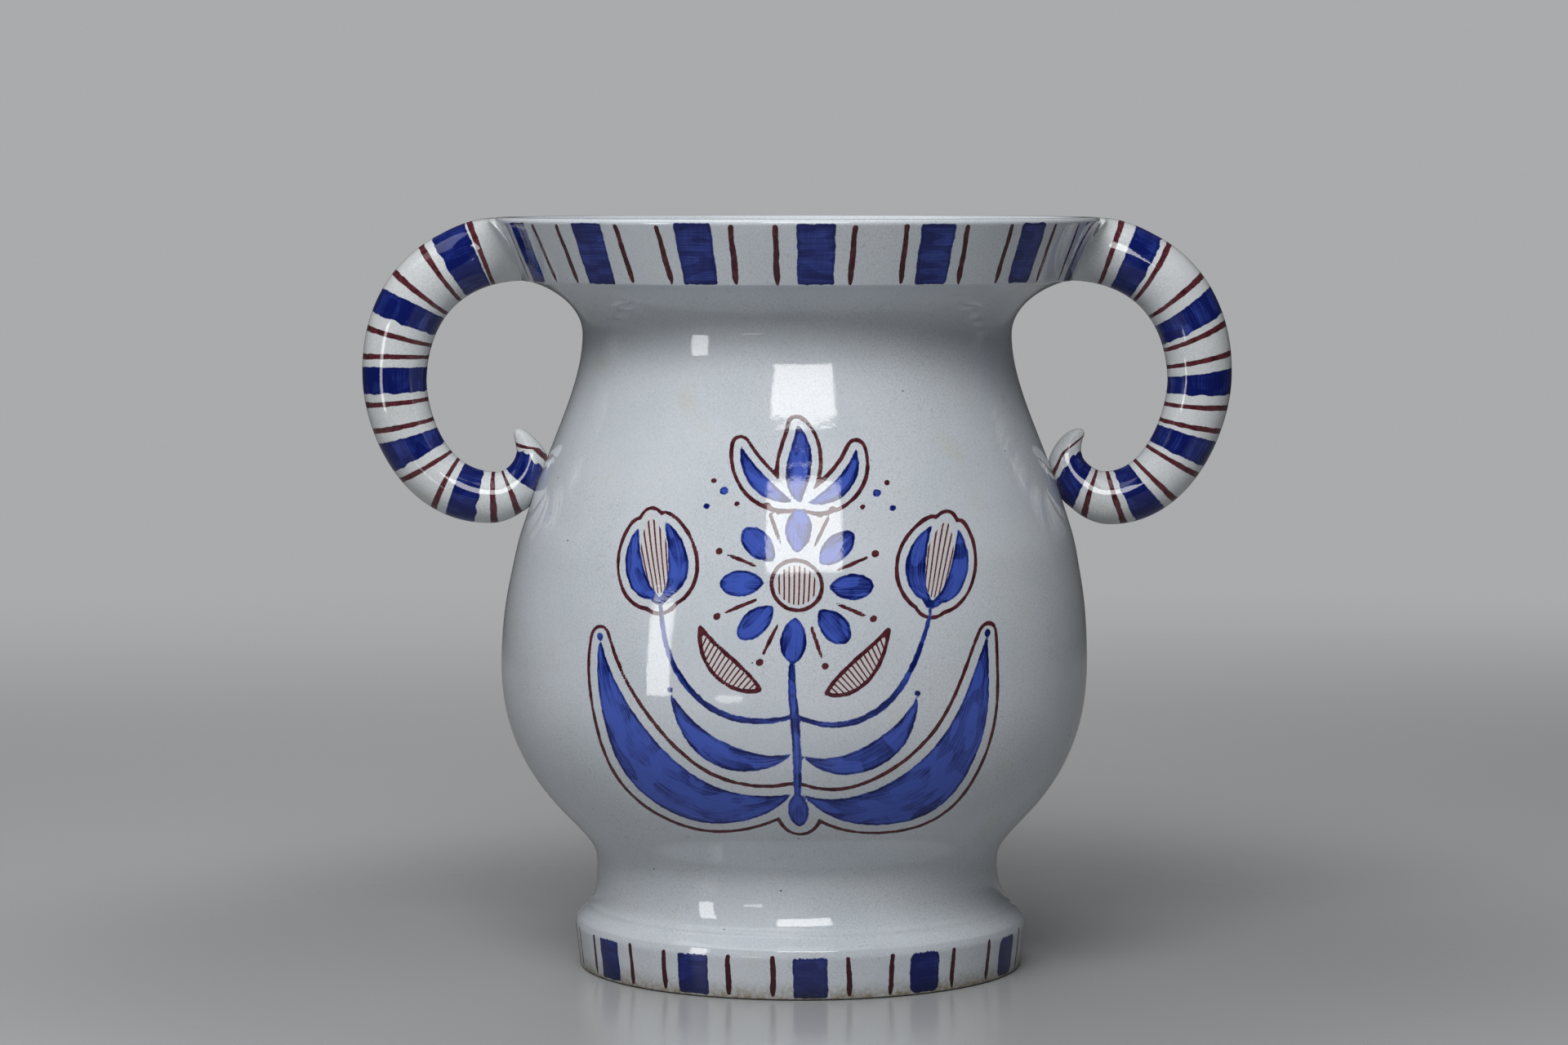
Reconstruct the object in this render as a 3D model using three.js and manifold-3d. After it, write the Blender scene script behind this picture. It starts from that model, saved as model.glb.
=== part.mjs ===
// Floor vase: a wheel-thrown earthenware body on a hollow pedestal, with a flaring collar at the
// mouth and two pulled loop handles whose tails curl into claws on the shoulder.
// The clay pieces are joined with a thin bed of slip. Millimetres, +Z up, and the origin is the
// centre of the foot on the floor. X runs through both handles.

import * as THREE from "three";
import { mergeVertices } from "three/addons/utils/BufferGeometryUtils.js";
import Module from "manifold-3d";

const wasm = await Module();
wasm.setup();

// Joints and walls
const slipBed = 0.3;
const bodyWall = 9;
const bowlFloor = 13;

// Pedestal: a hollow flared foot with an upright striped band, narrowing to the waist
const pedestalHeight = 60;
const pedestalWall = 12;
const waistRadius = 120.9;
const footRimRadius = 133.4;
const footRimEdge = 1.5;
const bandHeight = 24;
const bandTopRadius = 135.2;
const bandShoulder = 5;
const shoulderSlope = 55;
const shoulderSweep = 8.5;
const waistSweep = 17;

// Belly and neck of the body
const bellyRise = 122;
const bellyRadius = 176.3;
const bowlTurnRadius = 139.6;
const bowlTurnRise = 32;
const bowlTurnSlope = 46;
const bowlTurnPull = 24.4;
const waistFullness = 11.6;
const bowlFullness = 31.9;
const bellyFullnessBelow = 39.5;
const bellyFullnessAbove = 88;
const neckRise = 193;
const neckRadius = 128;
const neckFullness = 39.5;
const flareRise = 37;
const flareRadius = 160.8;
const flareSlope = 22;
const flareFullness = 20;

// Collar: a flaring band luted on the flange of the neck
const collarHeight = 38;
const collarOverhang = 4.3;
const collarSpread = 16.4;
const collarWall = 10;
const collarEdge = 1.2;
const collarThroat = 18;
const seatSweep = 9;
const seatSlope = 40;
const lipEdge = 3.2;

// Handles: centreline of the loop, heel and claw, and the thickness along it
const handleRootRadius = 18.9;
const handleArchRadius = 20;
const handleSideRadius = 19.3;
const handleHeelRadius = 15.3;
const clawRadius = 11;
const clawTipRadius = 2.2;
const handleReach = 60.2;
const archFullness = 43.4;
const archSideFullness = 43.9;
const sideDrop = 77.5;
const sideFullness = 21.1;
const heelFullness = 41.5;
const heelDrop = 149.3;
const heelRun = 23.4;
const clawRise = 23.6;
const clawCurl = 13;
const clawPress = 1.2;
const tipRise = 17.2;
const tipRun = 9.3;
const rootDepth = 9;
const rootFlare = 15;

// Fineness of the facets
const roundSteps = 60;
const handleSides = 16;
const outerSteps = [6, 8, 12, 7];
const innerSteps = [3, 5, 7, 5];
const handleSteps = [14, 11, 8, 7];

// Heights that follow from the rises above
const waistZ = pedestalHeight;
const floorZ = waistZ + bowlFloor;
const bellyZ = waistZ + bellyRise;
const neckZ = bellyZ + neckRise;
const seatZ = neckZ + flareRise;
const lipZ = seatZ + collarHeight;
const collarBaseRadius = flareRadius + collarOverhang;
const lipRadius = collarBaseRadius + collarSpread;

const point = (radius, height) => new THREE.Vector2(radius, height);

// A step of the given length from a point, at an angle in degrees above the outward direction.
const step = (from, length, degrees) => {
  const angle = THREE.MathUtils.degToRad(degrees);
  return point(from.x + length * Math.cos(angle), from.y + length * Math.sin(angle));
};

const bezier = (start, startPull, endPull, end, steps) =>
  new THREE.CubicBezierCurve(start, startPull, endPull, end).getPoints(steps);

// A round corner: an arc about a centre, between two angles in degrees.
const corner = (centre, radius, fromDegrees, toDegrees, steps) => {
  const from = THREE.MathUtils.degToRad(fromDegrees);
  const to = THREE.MathUtils.degToRad(toDegrees);
  const arc = new THREE.EllipseCurve(centre.x, centre.y, radius, radius, from, to, to < from);
  return arc.getPoints(steps);
};

// Neighbouring runs of an outline share their end point, which is kept once.
const joinRuns = (...runs) => {
  const joined = [];
  for (const run of runs) {
    for (const next of run) {
      const last = joined[joined.length - 1];
      if (!last || last.distanceTo(next) > 1e-6) joined.push(next);
    }
  }
  return joined;
};

// The outline moved sideways by a distance, to the outer side of a run that goes upwards.
const moveOutline = (points, distance) =>
  points.map((here, index) => {
    const before = points[Math.max(index - 1, 0)];
    const after = points[Math.min(index + 1, points.length - 1)];
    const along = after.clone().sub(before).normalize();
    return point(here.x + along.y * distance, here.y - along.x * distance);
  });

// The part of an upward run that lies between two heights, cut square at both.
const cropOutline = (points, low, high) => {
  const at = (height) => point(radiusAt(points, height), height);
  const inside = points.filter((p) => p.y > low + 0.5 && p.y < high - 0.5);
  return [at(low), ...inside, at(high)];
};

// Radius of an upward run at a height.
const radiusAt = (points, height) => {
  const index = points.findIndex((p) => p.y >= height);
  if (index < 1) return index === 0 ? points[0].x : points[points.length - 1].x;
  const below = points[index - 1];
  const above = points[index];
  return THREE.MathUtils.mapLinear(height, below.y, above.y, below.x, above.x);
};

// Outer line of the body, from the waist over the belly and the neck to the flange of the mouth,
// with a number of steps for each of its four sweeps.
const bodyLine = (steps) => {
  const waist = point(waistRadius, waistZ);
  const turn = point(bowlTurnRadius, waistZ + bowlTurnRise);
  const belly = point(bellyRadius, bellyZ);
  const neck = point(neckRadius, neckZ);
  const flange = point(flareRadius, seatZ);
  const aboveWaist = step(waist, waistFullness, 90);
  const belowTurn = step(turn, -bowlTurnPull, bowlTurnSlope);
  const aboveTurn = step(turn, bowlFullness, bowlTurnSlope);
  const belowBelly = step(belly, -bellyFullnessBelow, 90);
  const aboveBelly = step(belly, bellyFullnessAbove, 90);
  const belowNeck = step(neck, -neckFullness, 90);
  const aboveNeck = step(neck, flareFullness, 90);
  const belowFlange = step(flange, -flareFullness, flareSlope);
  return joinRuns(
    bezier(waist, aboveWaist, belowTurn, turn, steps[0]),
    bezier(turn, aboveTurn, belowBelly, belly, steps[1]),
    bezier(belly, aboveBelly, belowNeck, neck, steps[2]),
    bezier(neck, aboveNeck, belowFlange, flange, steps[3]),
  );
};

const bodyOutline = bodyLine(outerSteps);

// Inner line of the body, one wall inside the outer line, from the floor of the bowl to the seat.
const bodyInnerLine = cropOutline(moveOutline(bodyLine(innerSteps), -bodyWall), floorZ, seatZ);
const seatInnerRadius = bodyInnerLine[bodyInnerLine.length - 1].x;

// Half section of the body, closed on the axis.
const bodyProfile = [
  point(0, waistZ),
  ...bodyOutline,
  ...bodyInnerLine.toReversed(),
  point(0, floorZ),
];

// Half section of the pedestal: band, shoulder and sweep outside, a plain hollow inside.
const pedestalProfile = (() => {
  const topZ = waistZ - slipBed;
  const rimTurn = point(footRimRadius - footRimEdge, footRimEdge);
  const shoulderTurn = point(bandTopRadius - bandShoulder, bandHeight);
  const shoulder = corner(shoulderTurn, bandShoulder, 0, shoulderSlope, 4);
  const sweepStart = shoulder[shoulder.length - 1];
  const sweepPull = step(sweepStart, shoulderSweep, shoulderSlope + 90);
  const waist = point(waistRadius, topZ);
  const outer = joinRuns(
    corner(rimTurn, footRimEdge, -90, 0, 3),
    shoulder,
    bezier(sweepStart, sweepPull, step(waist, -waistSweep, 90), waist, 6),
  );
  const innerFoot = footRimRadius - pedestalWall;
  const innerTop = waistRadius - pedestalWall;
  const inner = joinRuns([point(innerTop, topZ), point(innerTop, bandHeight + bandShoulder)], [
    point(innerFoot, footRimEdge),
    point(innerFoot + footRimEdge, 0),
  ]);
  return [...outer, ...inner, outer[0]];
})();

// Half section of the collar: a wide seat on the flange, thinning to a rolled lip.
const collarProfile = (() => {
  const baseZ = seatZ + slipBed;
  const lean = THREE.MathUtils.radToDeg(Math.atan2(collarHeight, collarSpread));
  const edgeTurn = point(collarBaseRadius - collarEdge, baseZ + collarEdge);
  const outerLipTurn = point(lipRadius - lipEdge, lipZ - lipEdge);
  const innerLipTurn = point(lipRadius - collarWall, lipZ - lipEdge);
  const innerLip = corner(innerLipTurn, lipEdge, 90, lean + 90, 4);
  const wallTop = innerLip[innerLip.length - 1];
  const seat = point(seatInnerRadius, baseZ);
  const wallPull = step(wallTop, -collarThroat, lean);
  const inside = bezier(wallTop, wallPull, step(seat, seatSweep, seatSlope), seat, 6);
  const outline = joinRuns(
    corner(edgeTurn, collarEdge, -90, lean - 90, 2),
    corner(outerLipTurn, lipEdge, lean - 90, 90, 5),
    innerLip,
    inside,
  );
  return [...outline, outline[0]];
})();

const revolve = (profile) => new THREE.LatheGeometry(profile, roundSteps).rotateX(Math.PI / 2);

// A closed geometry as a solid that can be cut, and back again.
const solidFrom = (geometry) => {
  const bare = geometry.clone();
  bare.deleteAttribute("normal");
  bare.deleteAttribute("uv");
  const merged = mergeVertices(bare, 1e-4);
  const mesh = new wasm.Mesh({
    numProp: 3,
    vertProperties: merged.attributes.position.array,
    triVerts: new Uint32Array(merged.index.array),
  });
  return new wasm.Manifold(mesh);
};

const geometryFrom = (solid) => {
  const mesh = solid.getMesh();
  const geometry = new THREE.BufferGeometry();
  geometry.setAttribute("position", new THREE.BufferAttribute(mesh.vertProperties, 3));
  geometry.setIndex(new THREE.BufferAttribute(mesh.triVerts, 1));
  geometry.computeVertexNormals();
  return geometry;
};

// What the handles are fitted against: the filled forms of body and collar, one slip bed larger.
const fittingForm = (() => {
  const bodyLine = moveOutline(bodyOutline, slipBed);
  const bodyForm = [point(0, waistZ), ...bodyLine, point(0, seatZ)];
  const collarLine = moveOutline(collarProfile.slice(2, 9), slipBed);
  const top = collarLine[collarLine.length - 1];
  const collarForm = [point(0, seatZ - slipBed), point(collarLine[0].x, seatZ - slipBed)];
  collarForm.push(...collarLine, point(top.x, top.y), point(0, top.y));
  return solidFrom(revolve(bodyForm)).add(solidFrom(revolve(collarForm)));
})();

// Centreline of a handle in the X-Z plane, as four runs from the root on the collar to the tip.
const handleRuns = (() => {
  const at = (x, z) => new THREE.Vector3(x, 0, z);
  const rootZ = seatZ + collarHeight / 2;
  const rootX = (collarBaseRadius + lipRadius) / 2 - rootDepth;
  const sideX = lipRadius + handleReach;
  const sideZ = rootZ - sideDrop;
  const heelZ = rootZ - heelDrop;
  const clawZ = heelZ + clawRise;
  const clawX = radiusAt(bodyOutline, clawZ) + clawRadius - clawPress;
  const heelX = clawX + heelRun;
  const tipX = clawX + tipRun;
  const tipZ = clawZ + tipRise;
  return [
    new THREE.CubicBezierCurve3(
      at(rootX, rootZ), at(rootX + archFullness, rootZ),
      at(sideX, sideZ + archSideFullness), at(sideX, sideZ),
    ),
    new THREE.CubicBezierCurve3(
      at(sideX, sideZ), at(sideX, sideZ - sideFullness),
      at(heelX + heelFullness, heelZ), at(heelX, heelZ),
    ),
    new THREE.CubicBezierCurve3(
      at(heelX, heelZ), at(heelX - clawCurl, heelZ),
      at(clawX, clawZ - clawCurl), at(clawX, clawZ),
    ),
    new THREE.CubicBezierCurve3(
      at(clawX, clawZ), at(clawX, clawZ + tipRise / 3),
      at(tipX - tipRun / 2, tipZ - tipRise / 3), at(tipX, tipZ),
    ),
  ];
})();

// Extra half width of a handle across the band, where its root is thumbed out onto the collar.
const flareAt = (x) => {
  const collarX = (collarBaseRadius + lipRadius) / 2;
  const share = THREE.MathUtils.clamp((x - collarX) / rootFlare, 0, 1);
  return rootFlare * (1 - Math.sin((Math.PI / 2) * share));
};

// Stations along the centreline: place, direction, thickness and flare. They crowd at the root.
const handleStations = (() => {
  const radii = [handleRootRadius, handleSideRadius, handleHeelRadius, clawRadius, clawTipRadius];
  const swell = handleArchRadius - (handleRootRadius + handleSideRadius) / 2;
  const thickness = new THREE.SplineCurve(radii.map((radius, index) => point(index, radius)));
  return handleRuns.flatMap((run, runIndex) => {
    const steps = handleSteps[runIndex];
    const isRoot = runIndex === 0;
    const isTip = runIndex === handleRuns.length - 1;
    return Array.from({ length: isTip ? steps + 1 : steps }, (_, index) => {
      const t = isRoot ? (index / steps) ** 1.4 : index / steps;
      const arch = isRoot ? swell * Math.sin(Math.PI * t) : 0;
      const radius = thickness.getPoint((runIndex + t) / handleRuns.length).y + arch;
      const centre = run.getPoint(t);
      const flare = isRoot ? flareAt(centre.x) : 0;
      return { centre, along: run.getTangent(t), radius, flare };
    });
  });
})();

// A round section carried along the stations and closed at both ends.
const loftHandle = (stations) => {
  const acrossY = new THREE.Vector3(0, 1, 0);
  const positions = [];
  const faces = [];
  for (const { centre, along, radius, flare } of stations) {
    const sideways = new THREE.Vector3().crossVectors(acrossY, along).normalize();
    for (let side = 0; side < handleSides; side += 1) {
      const angle = (2 * Math.PI * side) / handleSides;
      const vertex = centre.clone();
      vertex.addScaledVector(sideways, radius * Math.cos(angle));
      vertex.addScaledVector(acrossY, (radius + flare) * Math.sin(angle));
      positions.push(vertex.x, vertex.y, vertex.z);
    }
  }
  const rootCentre = positions.length / 3;
  const tipCentre = rootCentre + 1;
  positions.push(...stations[0].centre.toArray());
  positions.push(...stations[stations.length - 1].centre.toArray());
  const lastRing = (stations.length - 1) * handleSides;
  for (let side = 0; side < handleSides; side += 1) {
    const next = (side + 1) % handleSides;
    for (let ring = 0; ring < lastRing; ring += handleSides) {
      const above = ring + handleSides;
      faces.push(ring + side, above + next, above + side);
      faces.push(ring + side, ring + next, above + next);
    }
    faces.push(rootCentre, next, side);
    faces.push(tipCentre, lastRing + side, lastRing + next);
  }
  const geometry = new THREE.BufferGeometry();
  geometry.setAttribute("position", new THREE.Float32BufferAttribute(positions, 3));
  geometry.setIndex(faces);
  return geometry;
};

const handleGeometry = geometryFrom(solidFrom(loftHandle(handleStations)).subtract(fittingForm));

// Glazes: a cool white tin glaze on the pot, slightly warmer on the handles.
const whiteGlaze = new THREE.MeshStandardMaterial({ color: 0xdde3e8, roughness: 0.12, metalness: 0 });
const warmGlaze = new THREE.MeshStandardMaterial({ color: 0xe2e2dc, roughness: 0.12, metalness: 0 });

const named = (name, geometry, material) => {
  const mesh = new THREE.Mesh(geometry, material);
  mesh.name = name;
  return mesh;
};

const vase = new THREE.Group();
vase.add(named("pedestal_foot", revolve(pedestalProfile), whiteGlaze));
vase.add(named("body", revolve(bodyProfile), whiteGlaze));
vase.add(named("rim_collar", revolve(collarProfile), warmGlaze));

const rightHandle = named("right_handle", handleGeometry, warmGlaze);
const leftHandle = named("left_handle", handleGeometry, warmGlaze);
leftHandle.rotation.z = Math.PI;
vase.add(rightHandle);
vase.add(leftHandle);

export default vase;
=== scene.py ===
"""Floor vase: a glazed earthenware pot with a striped collar, foot and handles and a painted flower.

Sizes are in millimetres until a mesh is made. The frame is the model's own: the origin is the centre
of the foot on the floor, Z is up, X runs through both handles, and the front faces -Y. Angles around
the pot start at the front and grow towards +X.
"""

import logging
import math
from dataclasses import dataclass, replace
from enum import Enum
from functools import cached_property

import bpy
import numpy as np
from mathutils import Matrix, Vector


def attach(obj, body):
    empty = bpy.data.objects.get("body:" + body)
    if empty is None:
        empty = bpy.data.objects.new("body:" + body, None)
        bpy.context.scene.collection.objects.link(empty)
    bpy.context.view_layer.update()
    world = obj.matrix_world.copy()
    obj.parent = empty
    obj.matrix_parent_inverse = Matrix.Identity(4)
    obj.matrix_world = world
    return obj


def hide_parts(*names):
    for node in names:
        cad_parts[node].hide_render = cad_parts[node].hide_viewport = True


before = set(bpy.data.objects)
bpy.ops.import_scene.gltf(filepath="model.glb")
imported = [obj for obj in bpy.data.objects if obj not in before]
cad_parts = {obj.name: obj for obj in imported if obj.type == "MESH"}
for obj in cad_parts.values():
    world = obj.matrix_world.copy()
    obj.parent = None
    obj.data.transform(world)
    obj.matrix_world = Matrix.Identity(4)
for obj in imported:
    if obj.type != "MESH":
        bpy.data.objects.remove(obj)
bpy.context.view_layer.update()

log = logging.getLogger("floor_vase")

Array = np.ndarray
Point = tuple[float, float]
Colour = tuple[float, float, float]
Table = tuple[tuple[float, ...], ...]
Marks = dict["Mark", Array]
Socket = bpy.types.NodeSocket
Value = float | Socket

MM = 0.001
ROOT = "root"
SEED = 11
# Distance to the nearest edge of paint where there is none, and between two rows that keep an edge sharp
FAR = 60.0
HOLD = 0.05


class Mark(Enum):
    """Values kept at the points of a mesh, which the glazes read."""

    BLUE = "blue_edge"
    RED = "red_edge"
    HATCH = "hatch_edge"
    HATCH_TURN = "hatch_turn"
    ALONG = "brush_along"
    ACROSS = "brush_across"
    LOAD = "extra_paint"
    STAIN = "stain"
    CLAY = "bare_clay"


class Side(Enum):
    """The two handles, by the way they reach along X."""

    LEFT = -1
    RIGHT = 1


class Glow(Enum):
    """What a lamp does: light the surfaces, show as a reflection in the glaze, or both."""

    BOTH = "both"
    LIGHT = "light"
    REFLECTION = "reflection"


# Lines and surfaces


def bezier(pulls: tuple[Point, Point, Point, Point], count: int = 200) -> Array:
    """Cubic sweep: (1-t)^3 a + 3 (1-t)^2 t b + 3 (1-t) t^2 c + t^3 d.

    Args:
        pulls: start, two pulls and end.
        count: number of points.

    Returns:
        The points as an array of pairs.
    """
    t = np.linspace(0.0, 1.0, count)[:, None]
    a, b, c, d = (np.asarray(p, float) for p in pulls)
    return (1 - t) ** 3 * a + 3 * (1 - t) ** 2 * t * b + 3 * (1 - t) * t**2 * c + t**3 * d


def step(start: Point, length: float, degrees: float) -> Point:
    """The point a length away from start, at an angle above the outward direction."""
    angle = math.radians(degrees)
    return (start[0] + length * math.cos(angle), start[1] + length * math.sin(angle))


def corner(centre: Point, radius: float, start: float, end: float, count: int = 9) -> Array:
    """Arc: centre + radius (cos a, sin a), with a going from start to end in degrees."""
    angle = np.radians(np.linspace(start, end, count))
    return np.column_stack((centre[0] + radius * np.cos(angle), centre[1] + radius * np.sin(angle)))


def chain(*runs: Array) -> Array:
    """Runs of an outline joined, with the points that neighbours share kept once."""
    line = np.vstack(runs)
    keep = np.r_[True, np.hypot(*np.diff(line, axis=0).T) > 1e-6]
    return line[keep]


def arc_length(line: Array) -> Array:
    """Length along a line up to each of its points."""
    return np.r_[0.0, np.cumsum(np.hypot(*np.diff(line, axis=0).T))]


def across_at(line: Array, height: Array) -> Array:
    """Radius of an upward outline at a height."""
    return np.interp(height, line[:, 1], line[:, 0])


def headings(line: Array) -> Array:
    """Unit vectors along a line."""
    ahead = np.gradient(line, axis=0)
    return ahead / np.hypot(*ahead.T)[:, None]


def at_lengths(line: Array, lengths: Array) -> Array:
    """Points of a line at the given lengths along it."""
    along = arc_length(line)
    return np.column_stack([np.interp(lengths, along, line[:, axis]) for axis in (0, 1)])


def even(line: Array, spacing: float) -> Array:
    """A line with its points moved to about one spacing apart."""
    total = arc_length(line)[-1]
    return at_lengths(line, np.linspace(0.0, total, max(2, round(total / spacing) + 1)))


@dataclass(frozen=True)
class HandThrown:
    """The slight lean of the thrown foot and belly, which every piece that touches them follows."""

    lean: float = -1.7
    low: float = 60.0
    high: float = 292.0
    foot_lean: float = 2.1
    foot_z: float = 28.0

    def shift(self, points: Array) -> Array:
        """Moves points along X.

        Between low and high the push is lean sin^2(pi (z - low) / (high - low)), and below low it is
        foot_lean sin^2(pi/2 t), with t growing from 0 at low to 1 at foot_z.
        """
        share = np.clip((points[..., 2] - self.low) / (self.high - self.low), 0.0, 1.0)
        under = np.clip((self.low - points[..., 2]) / (self.low - self.foot_z), 0.0, 1.0)
        moved = points.copy()
        moved[..., 0] += self.lean * np.sin(np.pi * share) ** 2
        moved[..., 0] += self.foot_lean * np.sin(np.pi / 2 * under) ** 2
        return moved


def skin(
    name: str,
    node: str,
    glaze: "Glaze",
    marks: Marks,
    rows: Array,
    closed: bool = False,
    start: Array | None = None,
    end: Array | None = None,
    sharp: Array | None = None,
) -> bpy.types.Object:
    """A glazed closed surface over a grid of points: columns go round it and rows go along it.

    Args:
        name: name of the piece.
        node: the solid of the model that it stands for.
        glaze: its finish.
        marks: values for each point of the grid.
        rows: points as rows x columns x 3, in millimetres.
        closed: whether the last row joins the first.
        start: the pole before the first row.
        end: the pole after the last row.
        sharp: which rows are creases.

    Returns:
        The new object, at the origin, riding on the body.
    """
    count, columns = rows.shape[:2]
    index = np.arange(count * columns).reshape(count, columns)
    low = index if closed else index[:-1]
    high = np.roll(index, -1, axis=0) if closed else index[1:]
    beside = (np.roll(low, -1, axis=1), np.roll(high, -1, axis=1))
    faces = np.stack((low, beside[0], beside[1], high), axis=-1).reshape(-1, 4).tolist()
    points = [rows.reshape(-1, 3)]
    following = np.roll(np.arange(columns), -1)
    if start is not None:
        pole = np.full(columns, count * columns)
        points.append(np.reshape(start, (1, 3)))
        faces += np.column_stack((pole, index[0][following], index[0])).tolist()
    if end is not None:
        pole = np.full(columns, count * columns + len(points) - 1)
        points.append(np.reshape(end, (1, 3)))
        faces += np.column_stack((pole, index[-1], index[-1][following])).tolist()
    mesh = bpy.data.meshes.new(name)
    mesh.from_pydata(HandThrown().shift(np.vstack(points)) * MM, [], faces)
    mesh.polygons.foreach_set("use_smooth", np.ones(len(mesh.polygons), bool))
    if sharp is not None:
        ends = np.empty(len(mesh.edges) * 2, np.int32)
        mesh.edges.foreach_get("vertices", ends)
        row = np.minimum(ends.reshape(-1, 2) // columns, count)
        crease = mesh.attributes.new("sharp_edge", "BOOLEAN", "EDGE")
        flags = np.r_[sharp, False]
        crease.data.foreach_set("value", (row[:, 0] == row[:, 1]) & flags[row[:, 0]])
    for mark, values in marks.items():
        poles = np.zeros(len(points) - 1)
        if mark is Mark.CLAY and start is not None:
            poles[0] = values[0, 0]
        layer = mesh.attributes.new(mark.value, "FLOAT", "POINT")
        layer.data.foreach_set("value", np.r_[values.ravel(), poles].astype(np.float32))
    mesh.update()
    piece = bpy.data.objects.new(name, mesh)
    bpy.context.scene.collection.objects.link(piece)
    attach(piece, ROOT)
    mesh.materials.append(glaze.material(marks))
    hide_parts(node)
    log.info("%s: %d points, %d faces", name, len(mesh.vertices), len(mesh.polygons))
    return piece


def revolve(profile: Array, angles: Array) -> Array:
    """Grid of a turned form: (r sin a, -r cos a, z) for each profile point (r, z) and angle a."""
    radius = profile[:, 0][:, None]
    height = np.broadcast_to(profile[:, 1][:, None], (len(profile), len(angles)))
    return np.stack((radius * np.sin(angles), -radius * np.cos(angles), height), axis=-1)


def creases(profile: Array, closed: bool, limit: float = 30.0) -> Array:
    """Which points of a profile turn by more than the limit in degrees."""
    before = profile - np.roll(profile, 1, axis=0)
    after = np.roll(profile, -1, axis=0) - profile
    turn = np.arctan2(after[:, 1], after[:, 0]) - np.arctan2(before[:, 1], before[:, 0])
    sharp = np.abs((turn + np.pi) % (2 * np.pi) - np.pi) > math.radians(limit)
    if not closed:
        sharp[[0, -1]] = False
    return sharp


# Painted ornament


@dataclass(frozen=True)
class Stroke:
    """A brush stroke: a sweep in millimetres, widest sin(pi t^lean)^fullness to each side of it."""

    pulls: tuple[Point, Point, Point, Point]
    widest: float
    fullness: float = 0.85
    lean: float = 1.0
    spacing: float = 1.0

    def mirrored(self) -> "Stroke":
        """The same stroke on the other side of the upright axis."""
        return replace(self, pulls=tuple((-u, v) for u, v in self.pulls))

    def placed(self, base: Point, degrees: float) -> "Stroke":
        """The stroke turned clockwise about its own origin and moved to a base."""
        c, s = math.cos(math.radians(degrees)), math.sin(math.radians(degrees))
        pulls = tuple((base[0] + u * c + v * s, base[1] - u * s + v * c) for u, v in self.pulls)
        return replace(self, pulls=pulls)

    def measure(self, spots: Array) -> tuple[Array, Array, Array]:
        """Distance to the stroke's edge: least of |p - c(t)| - w(t), less than 0 inside.

        Args:
            spots: points (u, v) on the unrolled surface.

        Returns:
            The distance, the length along the stroke and the offset across it, for each spot.
        """
        count = max(9, round(arc_length(bezier(self.pulls, 30))[-1] / self.spacing))
        line = bezier(self.pulls, count)
        t = np.linspace(0.0, 1.0, count)
        width = self.widest * np.maximum(np.sin(np.pi * t**self.lean), 0.0) ** self.fullness
        apart = spots[:, None, :] - line[None, :, :]
        gap = np.hypot(apart[..., 0], apart[..., 1]) - width
        nearest = gap.argmin(axis=1)
        pick = np.arange(len(spots))
        offset, ahead = apart[pick, nearest], headings(line)[nearest]
        along = arc_length(line)[nearest] + (offset * ahead).sum(axis=1)
        across = offset[:, 0] * ahead[:, 1] - offset[:, 1] * ahead[:, 0]
        return gap[pick, nearest], along, across


def both(strokes: list[Stroke]) -> list[Stroke]:
    """Strokes with their mirrored twins."""
    return strokes + [stroke.mirrored() for stroke in strokes]


@dataclass(frozen=True)
class Hatching:
    """A field of fine lines that fan out from a point, or run level where the point is far off."""

    shape: Stroke
    source: Point
    pitch: float

    def turns(self, spots: Array) -> Array:
        """Number of lines up to each spot: the angle about the source over the pitch in degrees."""
        away = spots - np.asarray(self.source)
        middle = np.mean(self.shape.pulls, axis=0) - np.asarray(self.source)
        angle = np.arctan2(away[:, 1], away[:, 0]) - math.atan2(middle[1], middle[0])
        return ((angle + np.pi) % (2 * np.pi) - np.pi) / math.radians(self.pitch)


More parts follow.
